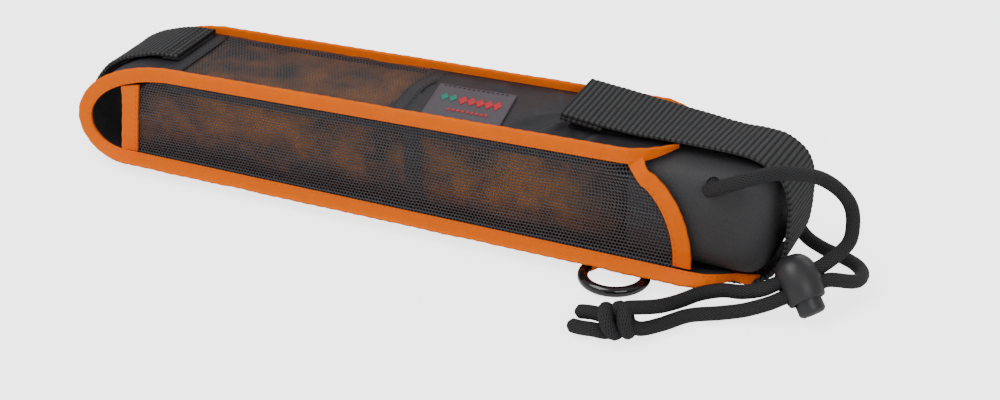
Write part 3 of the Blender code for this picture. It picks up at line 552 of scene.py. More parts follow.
nearThrough = knotTurn(10, -1, -4.4, -1.2) + [
    knot["centre"] + knot["along"] * 2.2 + Vector((0, 1.2, 0.6)),
    knot["centre"] + knot["along"] * 5.0 + Vector((0, 2.0, 1.0)),
    (90.8, -60.2, 7.0), (87.2, -59.4, 6.2), (83.6, -58.9, 5.2)]
farThrough = [(106.0, -58.2, 3.6), knot["centre"] - knot["along"] * 2.6 + Vector((0, -0.8, -0.8))]
farThrough += knotTurn(200, 1, 1.2, 4.4) + [
    (91.6, -65.2, 3.8), (87.6, -64.6, 3.0), (82.8, -64.0, 2.8)]
for word, side, route, tail, through in (("near", -1, nearRoute, nearTail, nearThrough),
                                         ("far", 1, farRoute, farTail, farThrough)):
    points = strandPoints(side, route, tail, through)
    work = roundTube(points, cordRadius)
    hidden = [f"wrist_cord_{word}", f"cord_end_{word}"] + (["cord_knot"] if word == "near" else [])
    piece = finishPiece(work, f"{word}Strand", cordLook, "sleeve", hidden, sharp=70)
    total = lengthsOf(points)[-1]
    print(f"{word} strand is {total:.1f} mm long")


# Cord lock.
lock = dict(radius=7.6, top=-10.0, rim=6.5, bore=5.0, boreEnd=-8.9, narrows=1.2, buttonEnd=11.5,
            slotWide=5.7, slotPlay=0.35, travel=2.0, barLength=40)


def turned(profile):
    # A profile of (radius, height) turned round the lock's own axis.
    work = bmesh.new()
    verts = [work.verts.new((r, 0, h)) for r, h in profile]
    edges = [work.edges.new(pair) for pair in zip(verts, verts[1:])]
    bmesh.ops.spin(work, geom=verts + edges, cent=(0, 0, 0), axis=(0, 0, 1), dvec=(0, 0, 0),
                   angle=2 * pi, steps=40, use_merge=True)
    bmesh.ops.remove_doubles(work, verts=work.verts, dist=0.005)
    bmesh.ops.recalc_face_normals(work, faces=work.faces)
    return work


def standOnLock(work):
    axes = Matrix((lockRun, lockSide, lockAxis)).transposed().to_4x4()
    bmesh.ops.transform(work, matrix=Matrix.Translation(lockCentre) @ axes, verts=work.verts)
    return work


def block(matrix, size):
    work = bmesh.new()
    bmesh.ops.create_cube(work, size=1.0, matrix=matrix @ Matrix.Diagonal((*size, 1)))
    return work


def rod(radius, long, matrix, segments):
    work = bmesh.new()
    bmesh.ops.create_cone(work, cap_ends=True, segments=segments, radius1=radius, radius2=radius,
                          depth=long, matrix=matrix)
    return work


def slotBar(low, high):
    # The rounded bar that cuts the strands' slot, from low to high along the lock's axis.
    wide, longSide = lock["slotWide"], lock["barLength"]
    work = block(Matrix.Translation((0, 0, (low + high) / 2)), (longSide, wide, high - low))
    runs = [e for e in work.edges if abs(e.verts[0].co.x - e.verts[1].co.x) > longSide / 2]
    bmesh.ops.bevel(work, geom=runs, offset=wide * 0.46, segments=6, profile=0.5,
                    affect="EDGES", material=-1)
    return work


def cutAway(piece, work):
    bmesh.ops.scale(work, vec=(mm,) * 3, verts=work.verts)
    cutter = stand("cutter", meshOf(work, "cutter"))
    hole = piece.modifiers.new("hole", "BOOLEAN")
    hole.operation, hole.solver, hole.object = "DIFFERENCE", "EXACT", cutter
    bpy.context.view_layer.update()
    drawn = piece.evaluated_get(bpy.context.evaluated_depsgraph_get())
    cut = bpy.data.meshes.new_from_object(drawn)
    piece.modifiers.remove(hole)
    old, piece.data = piece.data, cut
    bpy.data.meshes.remove(old)
    bpy.data.objects.remove(cutter)
    piece.data.set_sharp_from_angle(angle=radians(35))


def dome(radius, top, rim):
    # A ball drawn a little square, so that the bore's blind end stays inside its wall.
    out = []
    for i in range(13):
        angle = pi / 2 * i / 12
        out.append((radius * sin(angle) ** 0.83, top * cos(angle) ** 0.83))
    return out + [(radius * 0.985, rim * 0.3), (radius * 0.94, rim * 0.6),
                  (radius * 0.87, rim * 0.88), (radius * 0.83, rim), (radius * 0.78, rim + 0.25)]


strandsEdge = cord["offset"] + cord["diameter"] / 2
slotEdge = strandsEdge + lock["slotPlay"]
rim, bore, boreEnd, buttonEnd = lock["rim"], lock["bore"], lock["boreEnd"], lock["buttonEnd"]
bodyProfile = dome(lock["radius"], lock["top"], rim) + [
    (bore + 0.3, rim + 0.25), (bore, rim - 0.2), (bore, boreEnd + 1.9),
    (bore - lock["narrows"], boreEnd), (0, boreEnd)]
work = standOnLock(turned(bodyProfile))
piece = finishPiece(work, "lockBody", moulded, "lock", ["cord_lock_body"], sharp=35)
cutAway(piece, standOnLock(slotBar(-slotEdge, slotEdge)))

r, buttonTop = bore - 0.3, -strandsEdge - 1.5
work = standOnLock(turned([
    (0, buttonTop), (r - lock["narrows"], buttonTop), (r, buttonTop + 1.6), (r, buttonEnd - 1.1),
    (r - 0.3, buttonEnd - 0.5), (r - 1.0, buttonEnd), (0, buttonEnd)]))
piece = finishPiece(work, "lockButton", moulded, "lock_button", ["cord_lock_button"],
                    sharp=35)
cutAway(piece, standOnLock(slotBar(-slotEdge + 0.3, slotEdge + lock["travel"])))
print("cord, knot and lock made")


# Sleeve shape.
sleeve = dict(closedEnd=-139.0, length=250.0, half=20.9, endLow=24.0, endHigh=47.0, tip=17.0,
              tapeRise=5.8, tapeOut=1.4, lowSeam=7.0, lowFold=4.9, flare=6.3)
closedEnd, half = sleeve["closedEnd"], sleeve["half"]
mouthX = closedEnd + sleeve["length"]
tapeRise, lowSeam, lowFold = sleeve["tapeRise"], sleeve["lowSeam"], sleeve["lowFold"]
tapeY, panelY = half + 0.7, half - 0.3
tailX, patchEnd, nylonStart = mouthX - 28, closedEnd + 47, closedEnd + 132
sideLow, handleTop = 8.2, 45.3


def seamTop(x):
    return 38.2 + 6.2 * (x - closedEnd) / sleeve["length"]


def topZ(x):
    return seamTop(x) + 2.3


def endOutline(insetLow, insetHigh, start=0.0, end=1.0, count=20):
    top = seamTop(patchEnd) + tapeRise
    out = []
    for i in range(count + 1):
        angle = pi * (start + (end - start) * i / count)
        if angle <= pi / 2:
            x = closedEnd + sleeve["endLow"]
            wide, tall = sleeve["endLow"] - insetLow, sleeve["tip"] - insetLow
        else:
            x, wide, tall = patchEnd, sleeve["endHigh"] - insetHigh, top - sleeve["tip"] - insetHigh
        out.append((x - wide * sin(angle), sleeve["tip"] - tall * cos(angle)))
    return out


# how far the upper tape's loose end turns in over the handle
def tailTurn(x):
    return 13 * max(0.0, (x - tailX) / 17) ** 2


def tapeRows(side):
    rows = []
    if side < 0:
        rows.append(((131.2, -11.6, 2.2), (132.6, -11.4, 5.6)))
        rows.append(((128.0, -14.2, 2.1), (128.6, -12.9, 5.6)))
    for past in (13.0, 7.0, 0.0):
        inward = (past / 13) ** 2
        y = half + sleeve["tapeOut"] - (8.5 if side < 0 else 0.0) * inward
        low, high = lowFold * (1 - 0.5 * inward), lowSeam - 1.6 * inward
        rows.append(((mouthX + past, side * (y + sleeve["flare"] * (1 - inward)), low),
                     (mouthX + past, side * y, high)))
    for share in (0.12, 0.35, 0.65, 0.9):
        x = mouthX - share * (sleeve["length"] - sleeve["endLow"])
        y = half + sleeve["tapeOut"]
        rows.append(((x, side * (y + sleeve["flare"]), lowFold), (x, side * y, lowSeam)))
    fold, seam = endOutline(0, 0), endOutline(6.1, tapeRise)
    for i, ((fx, fz), (sx, sz)) in enumerate(zip(fold, seam)):
        ease = max(0.0, 1 - i / 9) ** 2
        rows.append(((fx, side * (tapeY + ease * 7.0), fz + ease * lowFold),
                     (sx, side * (tapeY + ease * 0.7), sz + ease * 0.9)))
    for share in (0.3, 0.6, 0.85, 1.0):
        x = patchEnd + share * (tailX - patchEnd)
        rows.append(((x, side * tapeY, seamTop(x) + tapeRise), (x, side * tapeY, seamTop(x))))
    reach = 17 if side < 0 else 14
    for i in range(1, 5):
        share = i / 4
        x = tailX + reach * share
        y = side * (tapeY - (tailTurn(x) if side < 0 else 0))
        z = seamTop(x) + (2.6 if side < 0 else -0.5) * share ** 2
        rows.append(((x, y, z + tapeRise * (1 - 0.75 * share ** 2)), (x, y, z)))
    return rows


tapeRing = mirrored([(1.0, 0.0), (0.985, 0.3), (0.95, 0.55), (0.88, 0.68), (0.6, 0.62),
                     (0.3, 0.56), (0.08, 0.6), (0.0, 0.5)])


def tapePiece(name, rows, side, replaced, stitched=0.17, bare=0):
    def pucker(share, along, height):
        sign = 1 if height >= 0 else -1
        near = exp(-((share - stitched) / 0.14) ** 2)
        dimple = 0.12 * near * (0.5 + 0.5 * cos(2 * pi * along / 2.5))
        return (0.45 * share * noise.noise(Vector((along / 14, side * 9.0, 3.0)))
                + 0.16 * share * sin(2 * pi * along / 5.0 + 3 * noise.noise(
                    Vector((along / 9, 0.0, side)))) - sign * (0.1 * near + dimple))

    work, fine, normals = strip(rows, tapeRing, 1.25, lambda p: Vector((0, side, 0.3)), pucker)
    finishPiece(work, name, tapeLook, "sleeve", replaced, sharp=60)
    sewn = len(fine) - bare
    stitches(name + "Stitches", fine[:sewn], normals[:sewn], stitched, 0.52, orangeThread)


def windowEdge(low, high, count=4):
    top = seamTop(closedEnd + 25) - 6.4
    return [(low + (high - low) * i / count, sideLow + (top - sideLow) * i / count)
            for i in range(count + 1)]


windowX, windowTape, lean = closedEnd + 18.6, 7.2, 2.7


def mouthCurve(inset, count=10):
    tall = 44.4 - sideLow + 2.6
    out = []
    for i in range(count + 1):
        angle = radians(66) * i / count
        x = mouthX - 29.4 + (29.4 - inset) * cos(angle)
        out.append((x, min(sideLow + (tall - inset) * sin(angle), seamTop(x) - 0.5)))
    return out


for word, side in (("near", -1), ("far", 1)):
    tapePiece(f"{word}EdgeTape", [(b, a) for a, b in tapeRows(side)], side,
              [f"{word}_edge_tape"])
    left = windowEdge(windowX, windowX + lean)
    right = windowEdge(windowX + windowTape, windowX + windowTape + lean)
    rows = [((bx, side * tapeY, bz), (ax, side * tapeY, az - 0.2))
            for (ax, az), (bx, bz) in zip(left, right)]
    (firstX, _, _), (secondX, _, _) = rows[0]
    rows[0] = ((firstX, side * tapeY, 7.4), (secondX, side * tapeY, 7.4))
    (firstX, _, _), (secondX, _, _) = rows[-1]
    rows[-1] = ((firstX + 0.3, side * (tapeY - 0.5), 35.8),
                (secondX - 0.6, side * (tapeY - 0.5), 33.8))
    tapePiece(f"{word}WindowTape", rows, side, [f"{word}_window_tape"], 0.14)
    rows = [((bx, side * (tapeY + 0.15), bz), (ax, side * (tapeY + 0.15), az))
            for (ax, az), (bx, bz) in zip(mouthCurve(0), mouthCurve(6.6))]
    tuck = (3.0, 1.4) if side < 0 else (0.8, 0.4)
    rows.append(((84.2, side * (tapeY - tuck[1]), 45.6), (91.2, side * (tapeY - tuck[0]), 46.4)))
    tapePiece(f"{word}MouthTape", rows, side, [f"{word}_mouth_tape"], 0.14, 9)
print("tapes made")


# Net and nylon panels.
def folds(x, y, size, seed):
    spot = Vector((x / size, y / size, seed))
    return noise.fractal(spot, 0.9, 2.1, 3)


def netSide(word, side):
    right = mouthCurve(5.4)
    left = windowEdge(windowX + windowTape - 1, windowX + windowTape + lean - 1)

    def edgeAt(curve, z):
        for (ax, az), (bx, bz) in zip(curve, curve[1:]):
            if az <= z <= bz and bz > az:
                return ax + (bx - ax) * (z - az) / (bz - az)
        return curve[-1][0] if z > curve[-1][1] else curve[0][0]

    def place(u, v):
        low = sideLow - 2.6
        guess = closedEnd + 27 + u * (mouthX - 12 - closedEnd - 27)
        z = low + v * (seamTop(guess) + 0.8 - low)
        xLeft, xRight = edgeAt(left, z), edgeAt(right, z)
        if z > left[-1][1]:
            xLeft += (z - left[-1][1]) * 1.1
        x = xLeft + u * (xRight - xLeft)
        hem = sin(pi * min(1, max(0, v))) ** 0.5
        pull = folds(x * 0.35 + z * 0.25, z * 1.2, 11, side * 5.0)
        tuck = exp(-((x - 6.5) / 1.1) ** 2) - 0.5 * exp(-((x - 3.5) / 1.4) ** 2)
        y = tapeY - 0.35 + hem * (0.75 * pull - 0.15 - 0.55 * tuck)
        corner = max(0, min(1, (x - 80) / 6)) * max(0, min(1, (z - 38) / 3))
        y = min(y, tapeY + 1.2) + max(0.0, 8.4 - z) * 0.45 - 2.2 * corner
        return Vector((x, side * y, z))

    work = surface(190, 36, place, lambda u, v: (u * 222, v * 34))
    piece = finishPiece(work, f"{word}Net", net, "sleeve", [f"{word}_mesh_panel"])


netSide("near", -1)
netSide("far", 1)


def acrossTop(start, end, edgeAt, liftAt, fineX, fineY):
    def place(u, v):
        x = start + (end - start) * u
        y = edgeAt(x, -1) + (edgeAt(x, 1) - edgeAt(x, -1)) * v
        return Vector((x, y, topZ(x) + liftAt(x, y)))

    return surface(fineX, fineY, place, lambda u, v: (u * abs(end - start), v * 41))


work = acrossTop(patchEnd - 7, nylonStart + 4, lambda x, s: s * (panelY + 0.4),
                 lambda x, y: 0.5 * folds(x, y, 13, 2.0) - 0.5 * (1 - (y / 21) ** 2), 90, 34)
piece = finishPiece(work, "topNet", net, "sleeve", ["top_mesh_panel"])


def topEdge(x, side):
    if x <= tailX:
        return side * (panelY + 0.4)
    share = (x - tailX) / 17
    return side * (panelY - (tailTurn(x) + 0.6 * share if side < 0 else 4 * share))


def calm(x, y, left, right, low, high):
    # Flat under the label and the loop patch: a tenth of the wrinkles inside, all of them 3 mm out.
    inside = min(x - left, right - x, y - low, high - y)
    return max(0.1, min(1.0, -inside / 3))


def topLift(x, y):
    # The nylon's rise over the handle, its wrinkles, and its calm stretches.
    over = max(0.0, handleTop + 0.6 - topZ(x)) if x > tailX else 0.0
    rise = 1.1 * exp(-((x - 50) / 12) ** 2) * max(0.0, 1 - abs(y + 6) / 16)
    ridge = 0.0
    for x0, y0, slant, tall, wide in ((44, -9, 0.9, 1.5, 2.6), (55, -12, 0.5, 1.3, 2.2),
                                      (62, -4, -0.6, 0.9, 2.4), (71, -14, 0.25, 1.2, 2.0),
                                      (48, 12, -0.5, 0.8, 2.6), (24, 15, 0.1, 0.6, 2.4)):
        off = (x - x0) - slant * (y - y0)
        ridge += 1.5 * tall * exp(-(off / wide) ** 2 - ((y - y0) / 9) ** 2)
    edge = min(1.0, (panelY + 0.4 - abs(y)) / 4)
    quiet = calm(x, y, 2, 39, -19, 10) * calm(x, y, 58, 80, -9, 18)
    return over + edge * (rise + ridge + 0.55 * folds(x * 0.8 + y * 0.5, y, 9, 7.0)) * quiet


work = acrossTop(nylonStart - 1, mouthX - 11, topEdge, topLift, 120, 44)
piece = finishPiece(work, "topNylon", nylon, "sleeve", ["top_nylon_panel"], thick=0.3)

hem = dict(x=nylonStart + 1.8, wide=6.0, bow=3.0, lift=0.35)
rows = []
for y in range(-20, 21, 5):
    x = hem["x"] + hem["bow"] * (y / 20) ** 2
    z = topZ(hem["x"]) + hem["lift"] + topLift(hem["x"], y)
    rows.append(((x - hem["wide"] / 2, y, z), (x + hem["wide"] / 2, y, z)))
softRing = mirrored([(0.0, 0.0), (0.03, 0.22), (0.1, 0.32), (0.5, 0.3), (0.9, 0.32), (0.97, 0.22),
                     (1.0, 0.0)])


def addHem(name, rows, shares):
    work, fine, normals = strip(rows, softRing, 1.6, upward)
    finishPiece(work, name, nylon, "sleeve", sharp=60)
    for i, share in enumerate(shares):
        stitches(f"{name}Stitches{i}", fine, normals, share, 0.33, blackThread, 2.3, 1.5,
                 0.22)


addHem("nylonHem", rows, (0.14, 0.86))
# Dark nylon seam allowances inside the top seams, partly real and partly a dark sheet put there as
# painted shade: a dark band along the top of each net.
for word, side in (("near", -1), ("far", 1)):
    rows = [((x, side * 20.2, seamTop(x) - 4.2), (x, side * 20.4, seamTop(x) + 2.1))
            for x in range(-98, 84, 13)]
    work = strip(rows, softRing, 4.0, lambda p: Vector((0, side, 0)))[0]
    finishPiece(work, f"{word}SeamAllowanceShade", nylon, "sleeve")


def endPatch():
    line = [(closedEnd + 28, 0.9), (closedEnd + 24, 2.4)] + endOutline(3.2, 3.2, 0.06, 0.97, 24)
    line = [p for p in line if p[0] < patchEnd - 6]
    line.append((patchEnd - 4, topZ(patchEnd - 4)))
    line = [p[0] for p in spline([[Vector((x, 0, z))] for x, z in line], 1.8)]
    lengths, last = lengthsOf(line), len(line) - 1

    def place(u, v):
        spot = line[round(v * last)]
        y = -panelY - 0.3 + u * 2 * (panelY + 0.3)
        wrinkle = 0.45 * folds(spot.x + spot.z, y, 9, 4.0) * sin(pi * u)
        if spot.z > 25 and -137 < spot.x < -105:
            wrinkle += 2.6 * sin(pi * (spot.x + 137) / 32) * min(1.0, 7 * u * (1 - u))
        out = Vector((spot.x - patchEnd, 0, spot.z - 20)).normalized()
        return Vector((spot.x, y, spot.z)) + out * wrinkle

    work = surface(30, last, place, lambda u, v: (u * 41, lengths[round(v * last)]))
    piece = finishPiece(work, "endNylon", nylon, "sleeve", ["end_panel"], thick=0.4)


endPatch()
patchHem = dict(x=patchEnd - 5.2, wide=4.8)
x, reach = patchHem["x"], patchHem["wide"] / 2
rows = [((x - reach, y, topZ(x) + 0.3), (x + reach, y, topZ(x) + 0.3)) for y in range(-20, 21, 5)]
addHem("patchHem", rows, (0.15, 0.85))


def underside():
    side = [(9, 0.3), (11.2, 1.6), (13.3, 4.3), (17, 6.2), (20.5, 6.6), (22.6, 6.2)]
    section = [(-y, z) for y, z in side[::-1]] + [(0, 0.3)] + side
    line = [p[0] for p in spline([[Vector((0, y, z))] for y, z in section], 1.6)]
    for p in line:
        p.z = max(p.z, 0.3)
    last = len(line) - 1

    def place(u, v):
        spot = line[round(u * last)]
        x = closedEnd + 23 + v * (mouthX + 14 - closedEnd - 23)
        past = max(0.0, (x - mouthX) / 13) ** 2
        lift = 0.3 * folds(x, spot.y, 14, 1.0) * max(0.0, min(1, spot.z / 3 - 0.3))
        return Vector((x, spot.y * (1 - 0.38 * past), spot.z * (1 - 0.2 * past) + lift + 0.06))

    work = surface(last, 100, place, lambda u, v: (u * 48, v * 240))
    piece = finishPiece(work, "underside", nylon, "sleeve", ["bottom_panel"], thick=0.4)


underside()
print("panels made")


# Webbing.
def webRing(thick, columns=15):
    top = [(0.0, 0.0), (0.006, 0.3 * thick), (0.02, 0.52 * thick), (0.05, 0.6 * thick),
           (0.08, 0.46 * thick)]
    top += [(0.1 + 0.8 * i / columns, 0.5 * thick) for i in range(columns + 1)]
    top += [(0.92, 0.46 * thick), (0.95, 0.6 * thick), (0.98, 0.52 * thick),
            (0.994, 0.3 * thick), (1.0, 0.0)]
    return mirrored(top)


def webPiece(name, rows, thick, body, replaced, facing, ribs=2.0, depth=0.26):
    def relief(share, along, height):
        sign = 1 if height > 0 else -1 if height < 0 else 0
        edgeTwist = 0.5 if share < 0.07 or share > 0.93 else 0.0
        wave = abs(sin(pi * (along + edgeTwist * ribs) / ribs)) - 0.6
        return sign * depth * wave + 0.1 * noise.noise(Vector((along / 6, share * 3, 1.0)))

    work = strip(rows, webRing(thick), 0.33, facing, relief)[0]
    return finishPiece(work, name, webbingLook, body, replaced, sharp=80)


loop = dict(near=5.5 - 14, far=5.5 + 14, thick=1.4)
loopShape = [(38.5, 43.6), (29, 43.1), (21, 41.1), (13.5, 38.4), (7, 34.4), (2, 29), (-2, 22),
             (-4, 15), (-3, 10), (1, 6.6), (6.5, 5.2), (11.5, 4.0)]
rows = [((closedEnd + x, loop["near"], z), (closedEnd + x, loop["far"], z)) for x, z in loopShape]
beltLoop = webPiece("beltLoop", rows, loop["thick"], "sleeve", ["belt_loop"],
                    lambda p: Vector((p.x + 95, 0, p.z - 15)))
x = closedEnd + loopShape[0][0]
rows = [((x - 7, loop["near"] + 0.2, 42.1), (x - 7, loop["far"] - 0.2, 42.1)),
        ((x, loop["near"] + 0.2, 42.5), (x, loop["far"] - 0.2, 42.5))]
webPiece("beltLoopHem", rows, 0.9, "sleeve", ["belt_loop_hem"], upward)
for i, fromEdge in enumerate((1.2, 5.2)):
    seamX, seamZ = x - fromEdge, loopShape[0][1] - 0.05 * fromEdge
    row = [((seamX, y, seamZ), (seamX + 0.01, y, seamZ)) for y in range(-8, 20, 3)]
    fineRows = spline([[Vector(a), Vector(b)] for a, b in row], 1.0)
    stitches(f"beltLoopStitches{i}", fineRows, [Vector((0, 0, 1))] * len(fineRows), 0.5, 0.95,
             blackThread, 2.2, 1.6, 0.3)

strap = dict(near=4.5 - 15, far=4.5 + 15, thick=1.4, hingeX=124.0, over=46.3, end=136.0)


def flapRows():
    stackX = mouthX - 39
    stack = topZ(stackX) + 0.3 + 0.8 + 1.2 + 2.1
    over = strap["over"]
    return [(mouthX - 54, stack + 1.6, stack + 2.1), (stackX, stack, stack + 0.6),
            (mouthX - 27, stack - 0.8, stack - 0.9), (mouthX - 11, over + 3.4, over + 1.2),
            (mouthX + 3, over + 3.4, over - 0.4), (strap["hingeX"] - 0.3, over + 3.0, over - 0.4)]


end, over = strap["end"], strap["over"]
line = [(mouthX + 1, 1.7, 1.7), (mouthX + 12, 1.7, 1.7), (end - 5, 3.0, 3.0), (end + 1, 7.5, 7.5),
        (end + 4.3, 15, 15), (end + 5, 25, 25), (end + 4.4, 35, 34), (end + 1.4, 42.6, 40.4),
        (end - 5, 47.3, 44.8)] + flapRows()[::-1]
slant = [3.2, 3.2, 3.0, 2.4, 1.4, 0.5]
rows = [((x, strap["near"] - shift, a), (x, strap["far"] - shift, b))
        for (x, a, b), shift in zip(line, slant + [0.0] * len(line))]


def strapFacing(p):
    return Vector((0, 0, 1)) if p.x < 128 and p.z > 25 else Vector((p.x - 118, 0, p.z - 25))


flap = webPiece("closureWebbing", rows, strap["thick"], None, ["closure_strap", "closure_flap"],
                strapFacing)
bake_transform(flap)


def flapEndRows(drop, inset):
    return [((x, strap["near"] + inset, a - drop), (x, strap["far"] - inset, b - drop))
            for x, a, b in flapRows()[:2]]


webPiece("flapHem", flapEndRows(1.7, 0.0), strap["thick"], "flap", ["flap_hem"], upward)
work = strip(flapEndRows(2.9, 2.0), flatRing(0.4), 1.0, upward)[0]
finishPiece(work, "hookPatch", nap, "flap", ["hook_patch"], sharp=60)
rows = [((x, strap["near"] + 2, topZ(x) + 0.9), (x, strap["far"] - 2, topZ(x) + 0.9))
        for x in (mouthX - 52, mouthX - 42, mouthX - 32)]
work = strip(rows, flatRing(0.6), 1.0, upward)[0]
finishPiece(work, "loopPatch", nap, "sleeve", ["loop_patch"], sharp=60)


# Label.
label = dict(nearX=6.2, farX=1.4, y=-18.5, long=30.8, wide=27.7, lift=0.75, curl=0.25)


def labelSpot(u, v):
    x = label["nearX"] + (label["farX"] - label["nearX"]) * v + label["long"] * u
    y = label["y"] + label["wide"] * v
    curl = label["curl"] * sin(pi * u) * sin(2.4 * u + 4 * v)
    return Vector((x, y, topZ(x) + label["lift"] + topLift(x, y) + curl))


work = surface(40, 32, labelSpot, lambda u, v: (u * 31, v * 28))
piece = finishPiece(work, "label", labelLook, "sleeve", ["woven_label"], thick=0.3)


def diamond(u0, v0, wide, tall):
    def place(u, v):
        s, t = 2 * u - 1, 2 * v - 1
        return labelSpot(u0 + wide * (s + t) / 2, v0 + tall * (s - t) / 2) + Vector((0, 0, 0.26))

    return surface(4, 4, place, lambda u, v: (u * 4, v * 4))


def motif(name, look, spots):
    work = bmesh.new()
    for spot in spots:
        addTo(work, diamond(*spot))
    finishPiece(work, name, look, "sleeve", thick=0.16)


motif("tealMotif", tealThread, [(0.16, 0.62, 0.055, 0.12), (0.27, 0.62, 0.055, 0.12)])
motif("coralMotif", coralThread, [(0.4 + 0.11 * i, 0.6, 0.06, 0.14) for i in range(5)]
      + [(0.3 + 0.06 * i, 0.27, 0.022, 0.05) for i in range(9)])
for word, v in (("Near", 0.04), ("Far", 0.95)):
    rows = [[labelSpot(u / 20, v), labelSpot(u / 20, v + 0.01)] for u in range(1, 20)]
    stitches(f"labelStitches{word}", rows, [Vector((0, 0, 1))] * len(rows), 0.5, 0.28, blackThread,
             1.9, 1.3, 0.16)
print("webbing and label made")


# Ring.
ring = dict(centre=Vector((85, -27.3, 2.35)), radius=11.0, wireRadius=1.85, pinAt=20, catchAt=90,
            tapeAt=155, tapeWide=4.4, tapeClear=2.05, catchGap=0.18)


def onRing(angle, radius=ring["radius"]):
    return ring["centre"] + Vector((radius * cos(radians(angle)), radius * sin(radians(angle)), 0))


def ringArc(start, end, count):
    return [onRing(start + (end - start) * i / count) for i in range(count + 1)]


def wireRadius(at, total):
    # the wire's ends are rounded off
    near = min(at, total - at)
    return ring["wireRadius"] * (1 if near > 0.5 else 0.82 + 0.36 * near)


def barAt(angle, size, radius=ring["radius"]):
    spot = Matrix.Translation(onRing(angle, radius))
    return block(spot @ Matrix.Rotation(radians(angle), 4, "Z"), size)


chord = 2 * ring["radius"] * sin(radians((ring["catchAt"] - ring["pinAt"]) / 2))
pinPlace = Matrix.Translation(onRing(ring["pinAt"]))


def catchTrim(start, finish):
    # A block that trims a wire's end square to the line from the pin to the catch.
    toCatch = Matrix.Rotation(radians(90 + (ring["pinAt"] + ring["catchAt"]) / 2), 4, "Z")
    along = Matrix.Translation(((start + finish) / 2, 0, 0))
    return block(pinPlace @ toCatch @ along, (finish - start, 9, 6))


work = roundTube(ringArc(ring["catchAt"] - 8, 360 + ring["pinAt"], 110), wireRadius, 24)
piece = finishPiece(work, "ringBody", enamel, "ring", ["ring_body"], sharp=50)
cutAway(piece, catchTrim(chord - 6, chord + ring["catchGap"]))
cutAway(piece, barAt(ring["pinAt"], (5.2, 5.0, 1.3)))
work = roundTube(ringArc(ring["pinAt"] + 15.5, ring["catchAt"] + 8, 30), wireRadius, 24)
addTo(work, barAt(ring["pinAt"] + 6.3, (2.0, 5.0, 0.7), ring["radius"] - 0.1))
piece = finishPiece(work, "ringGate", enamel, "gate", ["ring_gate"], sharp=50)
cutAway(piece, catchTrim(chord - ring["catchGap"], chord + 6))
finishPiece(rod(0.7, 2.9, pinPlace, 24), "gatePin", steel, "ring", ["gate_pin"])

clear, loopMiddle = ring["tapeClear"], onRing(ring["tapeAt"])
outward = (loopMiddle - ring["centre"]).normalized()
sideways = Vector((-outward.y, outward.x, 0)) * ring["tapeWide"] / 2
turns = [radians(90 + 30 * i) for i in range(7)]
profile = [(5.6, 2.3), (2.6, clear)] + [(clear * cos(turn), clear * sin(turn)) for turn in turns]
profile += [(2.6, -clear * 0.45), (5.6, 1.3)]
rows = []
for out, up in profile:
    centre = loopMiddle + outward * out + Vector((0, 0, up))
    rows.append((centre - sideways, centre + sideways))
narrowRing = mirrored([(0.0, 0.0), (0.06, 0.2), (0.2, 0.25), (0.8, 0.25), (0.94, 0.2), (1.0, 0.0)])
work = strip(rows, narrowRing, 0.6, lambda p: p - loopMiddle)[0]
finishPiece(work, "ringTape", tapeLook, "sleeve", ["ring_tape_loop"], sharp=70)
print("ring made")


# Umbrella.
grip = dict(start=86.0, end=136.0, wide=19.5, tall=20.0, low=5.3, square=4.0, roundEnd=9.5,
            hollowWide=12, hollowLong=34, hollowX=101, hollowZ=20.5)
gripSteps = [0.75 * i / 12 for i in range(13)] + [0.75 + 0.25 * i / 14 for i in range(1, 15)]


def squared(share, n):
    # one side of a rounded square section
    return abs(share) ** n * (1 if share > 0 else -1)


def gripSpot(u, v):
    share = gripSteps[round(v * 26)]
    x = grip["start"] + share * (grip["end"] - grip["start"])
    left = (grip["end"] - x) / grip["roundEnd"]
    inset = 0.0 if left >= 1 else grip["roundEnd"] * (1 - (1 - (1 - left) ** 2.3) ** (1 / 2.3))
    n = 2 / grip["square"]
    y = squared(cos(2 * pi * u), n) * (grip["wide"] - inset)
    z = squared(sin(2 * pi * u), n) * (grip["tall"] - inset)
    return Vector((x, y, grip["low"] + grip["tall"] + z))


def holeAlong(axis, radius, long, centre, segments):
    place = Matrix.Translation(centre) @ Matrix.Rotation(pi / 2, 4, axis)
    cutAway(piece, rod(radius, long, place, segments))


work = surface(96, 26, gripSpot, lambda u, v: (u * 120, v * 50), closed=True, capped=True)
piece = finishPiece(work, "grip", gripLook, "sleeve", ["handle_grip"], sharp=40)
holeAlong("X", cord["diameter"] / 2 + 0.35, 56, (cord["holeX"], 0, cord["holeZ"]), 32)
holeAlong("Y", grip["hollowWide"], grip["hollowLong"], (grip["hollowX"], 0, grip["hollowZ"]), 48)
canopy = dict(start=-114, end=85, wide=20.0, deep=21.2, low=1.8, pleats=6.5, thick=0.4)


def roofOver(x):
    if x >= patchEnd:
        return topZ(x)
    gap = 3.2
    tall = seamTop(patchEnd) + tapeRise - sleeve["tip"] - gap
    reach = sleeve["endHigh"] - gap
    return sleeve["tip"] + tall * max(0.0, 1 - ((patchEnd - x) / reach) ** 2) ** 0.5


